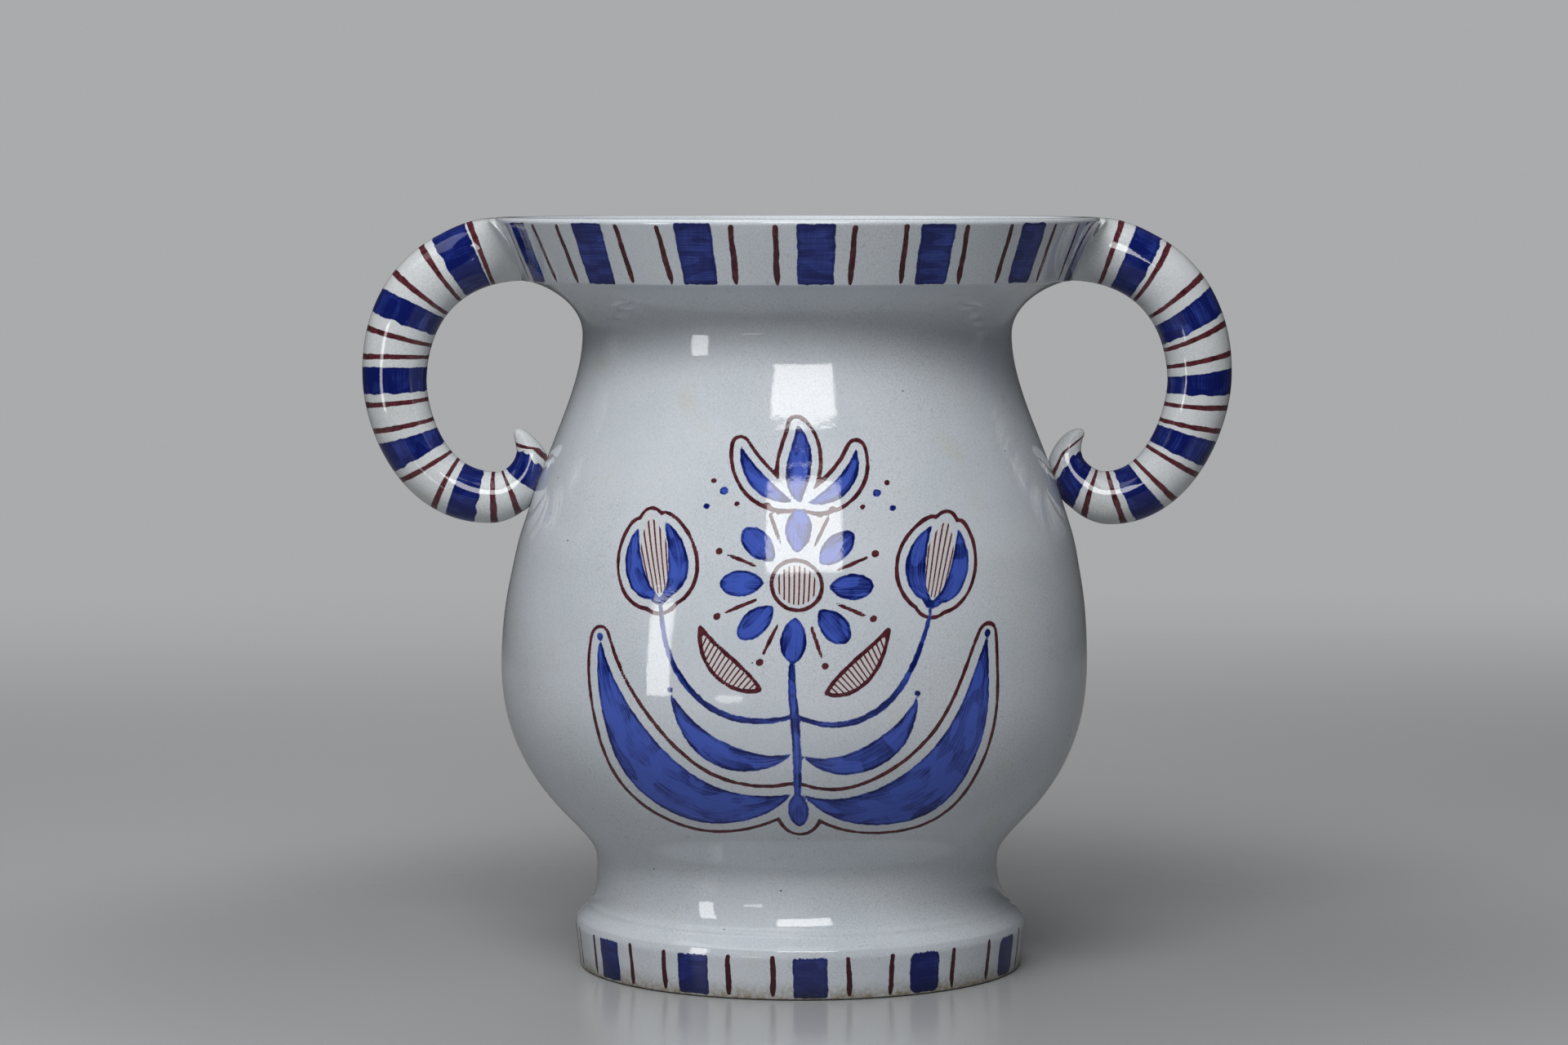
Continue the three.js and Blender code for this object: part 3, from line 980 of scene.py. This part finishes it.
@dataclass
class Foot:
    """Hollow pedestal: an upright striped band, a bead, a groove and ridge, and a sweep to the waist."""

    glaze: Glaze
    stripes: Stripes
    height: float = 60.0
    wall: float = 12.0
    waist_radius: float = 120.9
    rim_radius: float = 133.4
    rim_edge: float = 1.5
    band_z: float = 24.5
    band_radius: float = 136.0
    shoulder: float = 10.0
    shoulder_slope: float = 42.0
    shoulder_sweep: float = 6.5
    waist_sweep: float = 21.5
    bead: float = 0.28
    bead_z: float = 29.3
    ridge: float = 0.6
    ridge_z: float = 37.8
    groove: float = 0.15
    groove_z: float = 34.9
    seat_lap: float = 0.4
    chamfer: float = 0.9
    columns: int = 760

    def outer(self) -> Array:
        """Outer line: rim, band, shoulder and sweep, with rings size exp(-((z - at) / spread)^2)."""
        turn = (self.band_radius - self.shoulder, self.band_z)
        rim = corner((self.rim_radius - self.rim_edge, self.rim_edge), self.rim_edge, -90, 0, 6)
        shoulder = corner(turn, self.shoulder, 0, self.shoulder_slope, 14)
        foot = tuple(shoulder[-1])
        waist = (self.waist_radius, self.height)
        low_pull = step(foot, self.shoulder_sweep, self.shoulder_slope + 90)
        sweep = bezier((foot, low_pull, step(waist, -self.waist_sweep, 90), waist), 60)
        band = even(np.array([rim[-1], shoulder[0]]), 1.1)
        line = chain(rim, band, shoulder, even(sweep, 0.9)[:-1])
        for size, at, spread in (
            (self.bead, self.bead_z, 1.0),
            (self.ridge, self.ridge_z, 1.2),
            (-self.groove, self.groove_z, 1.2),
        ):
            line[:, 0] += size * np.exp(-(((line[:, 1] - at) / spread) ** 2))
        return chain(line, np.array([(waist[0], self.height - HOLD), waist]))

    def inner(self) -> Array:
        """Inner line, from the top down through the hollow to the rim."""
        low, high = self.rim_radius - self.wall, self.waist_radius - self.wall
        return chain(
            np.array([(high, self.height + self.seat_lap)]),
            bezier(((high, 50), (high, 32), (high + 1, 26), (low - 4, 10)), 14),
            np.array([(low, self.rim_edge), (low + self.rim_edge, 0.0)]),
        )

    def build(self) -> bpy.types.Object:
        """Turns the section, paints the stripes and bares the clay underneath."""
        outer = self.outer()
        lap = (self.waist_radius - self.chamfer, self.height + self.seat_lap)
        profile = np.vstack((outer, lap, self.inner()))
        angles = np.linspace(-np.pi, np.pi, self.columns, endpoint=False)
        marks = self.stripes.paint(angles, profile[:, 1], len(outer))
        marks[Mark.CLAY] = np.ones((len(profile), self.columns))
        marks[Mark.CLAY][1 : len(outer)] = 0.0
        rows, sharp = revolve(profile, angles), creases(profile, True)
        return skin("glazed_foot", "pedestal_foot", self.glaze, marks, rows, closed=True, sharp=sharp)


@dataclass
class Collar:
    """Flaring band at the mouth, with a seat on the flange and a rolled lip."""

    glaze: Glaze
    stripes: Stripes
    base_z: float = 412.3
    lip_z: float = 450.0
    base_radius: float = 165.1
    lip_radius: float = 181.5
    wall: float = 10.0
    edge: float = 1.2
    lip_edge: float = 2.4
    throat: float = 18.0
    seat_radius: float = 141.1
    seat_sweep: float = 9.0
    seat_slope: float = 40.0
    lean: float = 66.66
    worn: float = 0.8
    worn_radius: float = 178.4
    worn_half: float = 1.5
    columns: int = 900

    def outer(self) -> Array:
        """Outer line from the lower edge up the band to the crest of the lip."""
        low = (self.base_radius - self.edge, self.base_z + self.edge)
        high = (self.lip_radius - self.lip_edge, self.lip_z - self.lip_edge)
        edge = corner(low, self.edge, -90, self.lean - 90, 5)
        lip = corner(high, self.lip_edge, self.lean - 90, 90, 12)
        return chain(edge, even(np.array([edge[-1], lip[0]]), 1.3), lip)

    def inner(self) -> Array:
        """Inner line from the lip down the throat to the seat."""
        turn = (self.lip_radius - self.wall, self.lip_z - self.lip_edge)
        lip = corner(turn, self.lip_edge, 90, self.lean + 90, 10)
        top, seat = tuple(lip[-1]), (self.seat_radius, self.base_z)
        pulls = (top, step(top, -self.throat, self.lean), step(seat, self.seat_sweep, self.seat_slope), seat)
        return chain(lip, even(bezier(pulls, 60), 1.8))

    def build(self) -> bpy.types.Object:
        """Turns the section, paints the stripes and wears the lip."""
        outer, inner = self.outer(), self.inner()
        profile = chain(outer, even(np.array([outer[-1], inner[0]]), 1.2), inner)
        angles = np.linspace(-np.pi, np.pi, self.columns, endpoint=False)
        up = (profile[:, 1] - self.base_z) / math.sin(math.radians(self.lean))
        marks = self.stripes.paint(angles, up, len(outer))
        worn = self.worn * np.exp(-(((profile[:, 0] - self.worn_radius) / self.worn_half) ** 2))
        worn[profile[:, 1] <= self.lip_z - 1.0] = 0.0
        marks[Mark.STAIN] = np.repeat(worn[:, None], self.columns, axis=1)
        rows, sharp = revolve(profile, angles), creases(profile, True)
        return skin("glazed_collar", "rim_collar", self.glaze, marks, rows, closed=True, sharp=sharp)


@dataclass(frozen=True)
class Triplet:
    """A blue ring between two red ones on a handle.

    The places are lengths along it of the first red line, the start and end of the blue, and the
    second red line, and the leans are how far each lies further along on the outer side.
    """

    places: tuple[float, float, float, float]
    leans: tuple[float, float, float, float]
    fray: float = 0.25


@dataclass(frozen=True)
class Claw:
    """The curled tail of a handle: its place, its two sweeps and how it narrows to the tip.

    The middle is at height, pressed into the belly by press. The heel lies heel_run outside it, at
    heel_z, and is heel_fullness full on the loop's side. From heel to middle both pulls are curl. The
    tip is rise above the middle and run outside it, with pulls that are shares of the rise.
    """

    height: float
    press: float
    curl: float
    heel_run: float
    heel_z: float
    heel_fullness: float
    rise: float
    run: float
    first_pull: float
    last_pull: float
    heel_thickness: float
    thickness: float
    tip_thickness: float
    fullness: float


@dataclass(frozen=True)
class Root:
    """How a handle is thumbed out onto the collar: how far to each side, and over what length."""

    flare: float
    run: float
    squareness: float = 0.42


@dataclass
class Handle:
    """Pulled roll of clay: root thumbed out on the collar, loop, and a claw pressed on the belly."""

    side: Side
    glaze: Glaze
    triplets: tuple[Triplet, ...]
    belly: Belly
    collar: Collar
    root_shape: Root
    claw: Claw
    thickness: Point = (18.9, 19.2)
    swell: float = 1.1
    root: Point = (164.3, 431.0)
    side_at: Point = (241.7, 353.5)
    arch_fullness: float = 48.0
    arch_side_fullness: float = 47.0
    side_fullness: float = 22.0
    root_depth: float = 9.0
    lift: float = 1.8
    lift_run: float = 40.0
    root_reach: float = 60.0
    highest: float = 449.95
    softness: float = 0.8
    tail_start: float = 150.0
    claw_top: float = 340.0
    press_reach: float = 4.0
    press_sink: float = 0.25
    stain: float = 0.95
    red_half: float = 1.5
    steepest: float = 0.85
    averaged: int = 41
    points: int = 300
    columns: int = 80
    spacing: float = 0.85
    near_length: float = 30.0
    near_rows: int = 40
    cap_length: float = 2.0

    def runs(self) -> list[tuple[Point, Point, Point, Point]]:
        """The four sweeps of the centreline, in the X-Z plane of the right handle."""
        claw = self.claw
        claw_x = float(across_at(self.belly.outer(), claw.height)) + claw.thickness - claw.press
        middle, heel = (claw_x, claw.height), (claw_x + claw.heel_run, claw.heel_z)
        tip = (claw_x + claw.run, claw.height + claw.rise)
        last_pull = (tip[0] - claw.run / 2, tip[1] - claw.last_pull * claw.rise)
        root, side = self.root, self.side_at
        return [
            (root, step(root, self.arch_fullness, 0), step(side, self.arch_side_fullness, 90), side),
            (side, step(side, -self.side_fullness, 90), step(heel, claw.heel_fullness, 0), heel),
            (heel, step(heel, -claw.curl, 0), step(middle, -claw.curl, 90), middle),
            (middle, step(middle, claw.first_pull * claw.rise, 90), last_pull, tip),
        ]

    def path(self) -> tuple[Array, Array, Array]:
        """Centreline with its length and its thickness at every point.

        Returns:
            Points, lengths and radii. The radius is a Catmull-Rom line through the thicknesses of
            root, side, heel and claw, with a swell of sin(pi t) on the first sweep. On the claw's
            last sweep it falls to the tip's as (1-t)^fullness.
        """
        runs, share = self.runs(), np.linspace(0, 1, self.points)
        keep = [slice(-1)] * 3 + [slice(None)]
        line = np.vstack([bezier(run, self.points)[part] for run, part in zip(runs, keep)])
        t = np.concatenate([n + share[part] for n, part in enumerate(keep)])
        claw, tip = self.claw.thickness, self.claw.tip_thickness
        knots = np.r_[self.thickness[0], self.thickness, self.claw.heel_thickness, claw, tip, tip]
        n = np.minimum(t.astype(int), 3)
        u = t - n
        p0, p1, p2, p3 = (knots[n + k] for k in range(4))
        v0, v1 = (p2 - p0) / 2, (p3 - p1) / 2
        radius = (2 * p1 - 2 * p2 + v0 + v1) * u**3 + (3 * p2 - 3 * p1 - 2 * v0 - v1) * u**2 + v0 * u + p1
        radius = radius + np.where(t < 1, self.swell * np.sin(np.pi * t), 0.0)
        narrowed = tip + (claw - tip) * np.clip(4 - t, 0.0, 1.0) ** self.claw.fullness
        return line, arc_length(line), np.where(t > 3, narrowed, radius)

    def frames(self) -> tuple[Array, Array, Array, Array]:
        """Centre, heading, radius and narrowing of the roll, for a fine row of lengths.

        Returns:
            The lengths, points and headings, and the radius with its slope averaged over some points.
        """
        line, along, radius = self.path()
        slope = np.clip(np.gradient(radius, along), -self.steepest, self.steepest)
        spread = np.ones(self.averaged) / self.averaged
        slope = np.convolve(np.pad(slope, self.averaged // 2, mode="edge"), spread, mode="valid")
        return along, line, headings(line), np.column_stack((radius, slope))

    def surface(self, lengths: Array, turn: Array) -> Array:
        """Points at lengths along the handle and turns round it.

        The roll is the skin of a ball of radius r that moves along: with r' the slope of r, a point
        is the centre - r r' ahead + r sqrt(1-r'^2) (cos(turn) inwards + sin(turn) along Y). At the
        root a fillet f = 1 - sqrt(1 - (1-s)^2) widens it to (r + flare f) |sin(turn)|^(1 - square f),
        with s the share of its run outside the collar, and the surface follows the collar round. The
        outer side is lifted there, and flattened softly, k log(1 + e^(b/k)) below the lip where it
        would be b below it.

        Args:
            lengths: lengths along the centreline.
            turn: angles round it, 0 on the inner side of the loop.

        Returns:
            The points.
        """
        along, line, heading, thickness = self.frames()
        x, z, dx, dz, r, slope = (np.interp(lengths, along, v) for v in (*line.T, *heading.T, *thickness.T))
        x, z, r = x - slope * r * dx, z - slope * r * dz, r * np.sqrt(1 - slope**2)
        near_root = lengths < self.root_reach
        rise = np.clip((x - self.root[0]) / self.lift_run, 0.0, 1.0)
        lift = np.where(near_root, self.lift * (1 - rise**2) * (1 - np.cos(turn)) / 2, 0.0)
        below = self.highest - (z - dx * r * np.cos(turn) + lift)
        up = self.highest - self.softness * np.logaddexp(0.0, below / self.softness)
        side, around = r * np.sin(turn), across_at(self.collar.outer(), up) ** 2
        wall = np.sqrt(around - side**2)
        share = np.clip((x - wall) / self.root_shape.run, 0.0, 1.0)
        fillet = np.where(near_root, 1 - np.sqrt(1 - (1 - share) ** 2), 0.0)
        wide = np.sign(np.sin(turn)) * np.abs(np.sin(turn)) ** (1 - self.root_shape.squareness * fillet)
        wide = wide * (r + self.root_shape.flare * fillet)
        back = np.sqrt(around - wide**2) - wall
        return np.stack((x + dz * r * np.cos(turn) + back, wide, up), axis=-1)

    def root_lengths(self, turn: Array) -> Array:
        """Length at which each line of the surface leaves the collar."""
        lengths = np.linspace(0.0, self.near_length, 400)
        grid = self.surface(*np.broadcast_arrays(lengths[:, None], turn[None, :]))
        outside = np.hypot(grid[..., 0], grid[..., 1]) > across_at(self.collar.outer(), grid[..., 2])
        return lengths[outside.argmax(axis=0)]

    def press(self, points: Array) -> tuple[Array, Array]:
        """Presses the claw onto the belly: a gap g < reach becomes reach t^2 (2 - t) - sink (1 - t).

        Here t is g / reach, held between 0 and 1.

        Args:
            points: points of the surface.

        Returns:
            The pressed points and their gap to the belly.
        """
        line = self.belly.outer()
        x, y, z = np.moveaxis(points, -1, 0)
        radius = np.hypot(x, y)
        slope = across_at(line, z + 0.5) - across_at(line, z - 0.5)
        steep = 1 / np.sqrt(1 + slope**2)
        gap = (radius - across_at(line, z)) * steep
        t = np.clip(gap / self.press_reach, 0.0, 1.0)
        pressed = self.press_reach * t * t * (2 - t) - self.press_sink * (1 - t)
        move = np.where((gap < self.press_reach) & (z < self.claw_top), pressed - gap, 0.0)
        outward = np.stack((x / radius * steep, y / radius * steep, -slope * steep), axis=-1)
        return points + outward * move[..., None], gap

    def tip(self, turn: Array) -> tuple[Array, Array]:
        """Rows of points that close the tip with half a ball, and its pole."""
        _, line, heading, thickness = self.frames()
        (dx, dz), (radius, slope) = heading[-1], thickness[-1]
        ahead = np.array([dx, 0.0, dz])
        middle = np.array([line[-1, 0], 0.0, line[-1, 1]])
        aside = np.column_stack((dz * np.cos(turn), np.sin(turn), -dx * np.cos(turn)))
        rises = np.linspace(math.asin(-slope), np.pi / 2, 7)[1:-1]
        rows = [middle + radius * (aside * math.cos(rise) + ahead * math.sin(rise)) for rise in rises]
        return np.array(rows), middle + ahead * radius

    def build(self) -> bpy.types.Object:
        """Sweeps the section along the loop, closes both ends, paints the rings and stains the claw."""
        total = self.frames()[0][-1]
        turn = np.linspace(0.0, 2 * np.pi, self.columns, endpoint=False)
        share = np.linspace(0.0, 1.0, self.near_rows, endpoint=False)[:, None] ** 2
        near = self.root_lengths(turn) * (1 - share) + self.near_length * share
        rest = np.r_[np.arange(self.near_length, total, self.spacing), total][:, None]
        lengths = np.vstack((near, np.broadcast_to(rest, (len(rest), self.columns))))
        cap, end = self.tip(turn)
        grid = np.concatenate((self.surface(lengths, np.broadcast_to(turn, lengths.shape)), cap))
        grid, gap = self.press(grid)
        lengths = np.vstack((lengths, np.full(cap.shape[:2], total + self.cap_length)))
        marks = self.rings(lengths - self.root_depth, np.broadcast_to(turn, lengths.shape))
        low = (grid[..., 2] < self.claw_top) & (lengths > self.tail_start)
        marks[Mark.STAIN] = np.where(low, self.stain * np.exp(-np.maximum(gap, 0.0)), 0.0)
        start = np.array([across_at(self.collar.outer(), self.root[1]) - 1.0, 0.0, self.root[1]])
        turned = np.array([self.side.value, self.side.value, 1.0])
        node = f"{self.side.name.lower()}_handle"
        rows, start, end = grid * turned, start * turned, end * turned
        return skin(f"glazed_{node}", node, self.glaze, marks, rows, start=start, end=end)

    def rings(self, along: Array, turn: Array) -> Marks:
        """Marks of the painted rings: an edge at length s lies at s - lean cos(turn)."""
        blue, red = np.full(along.shape, FAR), np.full(along.shape, FAR)
        for ring in self.triplets:
            edges = zip(ring.places, ring.leans)
            before, start, end, after = (along + lean * np.cos(turn) - place for place, lean in edges)
            end = end + ring.fray * (np.sin(7 * turn + 1.0) + np.sin(11 * turn))
            blue = np.minimum(blue, np.maximum(-start, end))
            for line in (before, after):
                red = np.minimum(red, np.abs(line) - self.red_half)
        across = turn * self.thickness[0]
        return {Mark.BLUE: blue, Mark.RED: red, Mark.ALONG: along, Mark.ACROSS: across}


# Floor, light and camera


@dataclass(frozen=True)
class Lamp:
    """A soft panel: where it is, what it points at, its size in metres and how bright it looks."""

    name: str
    place: tuple[float, float, float]
    aim: tuple[float, float, float]
    width: float
    height: float
    radiance: float
    glow: Glow = Glow.BOTH

    def build(self) -> None:
        """Adds the lamp. Its power is pi times radiance times area."""
        light = bpy.data.lights.new(self.name, "AREA")
        light.shape = "RECTANGLE"
        light.size, light.size_y = self.width, self.height
        light.energy = math.pi * self.radiance * self.width * self.height
        lamp = bpy.data.objects.new(self.name, light)
        lamp.location = self.place
        aim = Vector(self.aim) - Vector(self.place)
        lamp.rotation_euler = aim.to_track_quat("-Z", "Y").to_euler()
        lamp.visible_camera = False
        lamp.visible_diffuse = self.glow is not Glow.REFLECTION
        lamp.visible_glossy = self.glow is not Glow.LIGHT
        bpy.context.scene.collection.objects.link(lamp)


@dataclass
class Studio:
    """Plain pale floor, soft light and the camera of the photograph."""

    backdrop: Colour = (0.40, 0.405, 0.41)
    floor: Colour = (0.37, 0.375, 0.38)
    sky: Colour = (0.97, 0.985, 1.0)
    fill: float = 0.045
    dimmer: float = 0.45
    camera_place: tuple[float, float, float] = (-0.00784, -2.6347, 0.4679)
    camera_pitch: float = 4.371
    focal_length: float = 100.77
    floor_middle: float = 0.5
    floor_radius: float = 5.0
    floor_points: int = 96
    floor_refraction: float = 1.42
    fade: Point = (0.9, 2.6)

    def build(self) -> None:
        """Adds everything around the pot."""
        self.light()
        self.ground()
        self.look()

    def light(self) -> None:
        """Soft panels in front, above and behind, and the window, strip and card that the glaze mirrors."""
        for lamp in (
            Lamp("front_panel", (-0.3, -1.7, 1.9), (0.0, 0.0, 0.30), 1.4, 1.0, 9.8, Glow.LIGHT),
            Lamp("top_panel", (-0.5, -0.5, 2.5), (0.0, 0.0, 0.3), 2.8, 2.4, 1.4),
            Lamp("back_panel", (-0.4, 2.6, 1.5), (0.0, 0.0, 0.3), 2.0, 1.6, 3.0, Glow.LIGHT),
            Lamp("window", (0.13, -2.44, 1.53), (0.0, 0.0, 0.30), 1.4, 0.96, 8.0, Glow.REFLECTION),
            Lamp("left_strip", (-1.194, -0.973, 0.30), (0.0, 0.0, 0.28), 0.25, 0.60, 7.0, Glow.REFLECTION),
            Lamp("low_card", (-0.37, -0.87, 0.067), (0.0, -0.1, 0.06), 0.16, 0.04, 4.5, Glow.REFLECTION),
        ):
            lamp.build()
        world = bpy.data.worlds.new("studio")
        bpy.context.scene.world = world
        g = Graph(world)
        seen = g.add("LightPath", {})
        plain = g.add("Background", {"Color": (*self.backdrop, 1.0), "Strength": 1.0})
        soft = g.add("Background", {"Color": (*self.sky, 1.0), "Strength": self.fill})
        direct = g.math("MAXIMUM", seen.outputs["Is Camera Ray"], seen.outputs["Is Transmission Ray"])
        both_seen = g.add("MixShader", {0: direct, 1: soft.outputs[0], 2: plain.outputs[0]})
        g.add("OutputWorld", {"Surface": both_seen.outputs[0]})

    def ground(self) -> None:
        """A round floor that fades into the backdrop, and is dimmer where the glaze mirrors it."""
        count = self.floor_points
        ring = np.linspace(0, 2 * np.pi, count, endpoint=False)
        radii = np.array([[self.floor_middle], [self.floor_radius]])
        rows = np.stack((radii * np.cos(ring), radii * np.sin(ring), np.zeros((2, count))), axis=-1)
        index = np.arange(2 * count).reshape(2, count)
        beside = np.roll(index, -1, axis=1)
        faces = np.stack((index[0], index[1], beside[1], beside[0]), axis=-1).tolist() + [index[0].tolist()]
        mesh = bpy.data.meshes.new("studio_floor")
        mesh.from_pydata(rows.reshape(-1, 3), [], faces)
        ground = bpy.data.objects.new("studio_floor", mesh)
        bpy.context.scene.collection.objects.link(ground)
        material = bpy.data.materials.new("pale_floor")
        g = Graph(material)
        away = g.add("VectorMath", {0: g.place}, {"operation": "LENGTH"}).outputs["Value"]
        mirrored = g.math("MULTIPLY", g.add("LightPath", {}).outputs["Is Glossy Ray"], self.dimmer)
        fade = g.math("MAXIMUM", g.ramp(away, *self.fade), mirrored)
        rough = g.ramp(away, 0.3, 0.8, 0.22, 0.7)
        inputs = {"Base Color": (*self.floor, 1.0), "Roughness": rough, "IOR": self.floor_refraction}
        solid = g.add("BsdfPrincipled", inputs)
        clear = g.add("BsdfTransparent", {})
        mixed = g.add("MixShader", {0: fade, 1: solid.outputs[0], 2: clear.outputs[0]})
        g.add("OutputMaterial", {"Surface": mixed.outputs[0]})
        mesh.materials.append(material)

    def look(self) -> None:
        """The camera at the photograph's place and angle."""
        lens = bpy.data.cameras.new("camera")
        lens.lens = self.focal_length
        lens.sensor_width = 36.0
        lens.sensor_fit = "HORIZONTAL"
        camera = bpy.data.objects.new("camera", lens)
        camera.location = self.camera_place
        camera.rotation_euler = (math.radians(90 - self.camera_pitch), 0.0, 0.0)
        bpy.context.scene.collection.objects.link(camera)
        bpy.context.scene.camera = camera
        bpy.context.scene.view_settings.view_transform = "Standard"


# Stripes, rings and claws

# Collar and foot: angle in degrees, then half width, lean and rounding in millimetres
COLLAR_BLOCKS: Table = (
    (-65.3, 10.4, 6.0),
    (-42.3, 11.2, 2.7),
    (-19.3, 10.7),
    (3.35, 10.7, -0.5),
    (26.5, 10.7, -2.8, 1.8),
    (49.35, 10.5, -4.8, 2.4),
    (73.5, 11.0, -8.0),
)
COLLAR_LINES: Table = (
    (-71.3, 0.9, 8.0),
    (-57.7, 1.7),
    (-49.9, 1.75, 0.3),
    (-34.65, 1.75, -1.2),
    (-25.85, 1.75, -2.1),
    (-12.1, 1.75),
    (-4.05, 1.7),
    (10.2, 1.7),
    (20.15, 1.65, -2.3),
    (32.75, 1.75, -4.5),
    (42.8, 1.65, -2.7),
    (55.95, 1.7, -5.8),
    (66.0, 1.4, -9.0),
    (76.4, 1.1, -10.0),
)
FOOT_BLOCKS: Table = (
    (-56.1, 9.9),
    (-26.85, 9.9),
    (3.25, 10.1, -0.4, 1.4),
    (33.1, 10.1, -1.2, 3.8),
    (64.9, 10.2, 0.0, 4.4),
)
FOOT_LINES: Table = (
    (-64.0, 1.6),
    (-46.6, 1.6, -0.6),
    (-35.35, 1.65),
    (-17.25, 1.65),
    (-5.95, 1.65),
    (12.8, 1.6, -1.6),
    (23.7, 1.65, 0.6),
    (41.75, 1.65, -0.3),
    (55.2, 1.7),
    (73.8, 1.6),
)

# Handles: lengths along them and leans in millimetres
LEFT_RINGS = (
    Triplet((15.7, 18.1, 37.3, 43.3), (2.4, 2.4, 0.0, -0.4)),
    Triplet((59.8, 66.4, 80.6, 88.8), (0.1, 2.4, 0.3, 0.0)),
    Triplet((100.6, 106.9, 122.9, 128.8), (2.5, 1.3, -1.3, -1.7)),
    Triplet((143.3, 150.1, 164.7, 171.7), (-2.4, -2.4, -1.0, -3.0)),
    Triplet((186.4, 192.8, 209.2, 216.9), (2.5, 2.1, -0.4, 0.3)),
    Triplet((227.7, 236.0, 252.3, 258.1), (-1.9, 1.3, -5.5, -6.0), 0.6),
)
RIGHT_RINGS = (
    Triplet((14.5, 22.4, 38.3, 42.4), (2.0, 1.2, -1.5, -1.6)),
    Triplet((62.4, 69.9, 84.7, 89.5), (-0.9, -2.2, -3.3, -3.2)),
    Triplet((103.4, 110.8, 124.1, 131.4), (-2.2, -2.0, -2.2, -3.1)),
    Triplet((143.6, 148.4, 162.4, 167.3), (-2.7, -1.9, -1.5, -1.4)),
    Triplet((183.0, 189.1, 204.5, 209.6), (-1.4, -1.9, -3.1, -3.4)),
    Triplet((224.4, 230.1, 247.2, 256.0), (-3.1, -3.4, -8.4, -14.4), 0.6),
)

LEFT_CLAW = Claw(
    height=306.0,
    press=-0.8,
    curl=11.9,
    heel_run=23.0,
    heel_z=281.75,
    heel_fullness=44.4,
    rise=14.6,
    run=7.7,
    first_pull=0.20,
    last_pull=0.27,
    heel_thickness=15.45,
    thickness=9.1,
    tip_thickness=2.55,
    fullness=0.75,
)
RIGHT_CLAW = Claw(
    height=305.1,
    press=-1.8,
    curl=11.2,
    heel_run=25.0,
    heel_z=281.5,
    heel_fullness=38.5,
    rise=15.0,
    run=7.6,
    first_pull=0.36,
    last_pull=0.15,
    heel_thickness=16.0,
    thickness=9.7,
    tip_thickness=3.2,
    fullness=0.95,
)


def all_round(
    blocks: Table, lines: Table, behind: list[float], half: float, line_half: float, apart: float
) -> dict[str, tuple[Bar, ...]]:
    """Blocks and lines as listed for the front, and even sets of one block and two lines behind.

    Args:
        blocks: blue blocks in front.
        lines: red lines in front.
        behind: angle of each set at the back.
        half: half width of the blocks there.
        line_half: half width of the lines there.
        apart: angle from a block to its lines.

    Returns:
        The blue and the red bars.
    """
    blue = [Bar(*bar) for bar in blocks] + [Bar(angle, half) for angle in behind]
    red = [Bar(*bar) for bar in lines]
    red += [Bar(angle + side, line_half) for angle in behind for side in (-apart, apart)]
    return {"blue": tuple(blue), "red": tuple(red)}


def collar_stripes() -> Stripes:
    """Stripes of the collar: seven sets in front and seven behind, clear of the handles."""
    behind = [109.5 + 22.6 * number for number in range(7)]
    bars = all_round(COLLAR_BLOCKS, COLLAR_LINES, behind, 10.8, 1.7, 7.4)
    return Stripes(
        173.0, **bars, blue_span=(0.6, 38.4), red_span=(0.2, 37.7), ends=(0.25, 0.45), end_reach=1.6
    )


def foot_stripes() -> Stripes:
    """Stripes of the foot: five sets in front and seven behind, moved left by cos(angle) degrees."""
    behind = [64.5 + 29.925 * number for number in range(1, 8)]
    bars = all_round(FOOT_BLOCKS, FOOT_LINES, behind, 9.9, 1.6, 9.6)
    for colour, kind in bars.items():
        bars[colour] = tuple(replace(bar, at=bar.at - math.cos(math.radians(bar.at))) for bar in kind)
    return Stripes(
        134.5,
        **bars,
        blue_span=(1.6, 25.5),
        red_span=(1.5, 26.2),
        ends=(0.3, -0.15),
        end_reach=2.0,
        point=5.0,
        uneven=0.4,
        fray=0.5,
    )


def main() -> None:
    """Builds the pot and its surroundings in order."""
    logging.basicConfig(level=logging.INFO, format="%(message)s")
    pot = Glaze("body_tin_glaze", "body_glaze", paint_load=0.36, streaks=1.5, pool=0.42, middle=-0.2)
    foot = Glaze(
        "foot_tin_glaze", "foot_glaze", paint_load=0.9, red_load=0.25, streaks=0.6, pool=0.1, soiled_and_shadowed_foot=True
    )
    rim = Glaze("collar_tin_glaze", "collar_glaze", paint_load=0.72, red_load=0.1, streaks=0.7, pool=0.12)
    roll = Glaze(
        "handle_tin_glaze",
        "handle_glaze",
        white=(0.63, 0.655, 0.675),
        cloudy=(0.59, 0.62, 0.63),
        paint_load=0.88,
        red_load=-0.05,
        streaks=0.8,
        pool=0.1,
    )
    belly = Belly(pot, FolkFlower())
    collar = Collar(rim, collar_stripes())
    belly.build()
    Foot(foot, foot_stripes()).build()
    collar.build()
    Handle(Side.LEFT, roll, LEFT_RINGS, belly, collar, Root(26.0, 28.0), LEFT_CLAW).build()
    Handle(Side.RIGHT, roll, RIGHT_RINGS, belly, collar, Root(8.5, 12.0), RIGHT_CLAW).build()
    Studio().build()


if __name__ == "__main__":
    main()
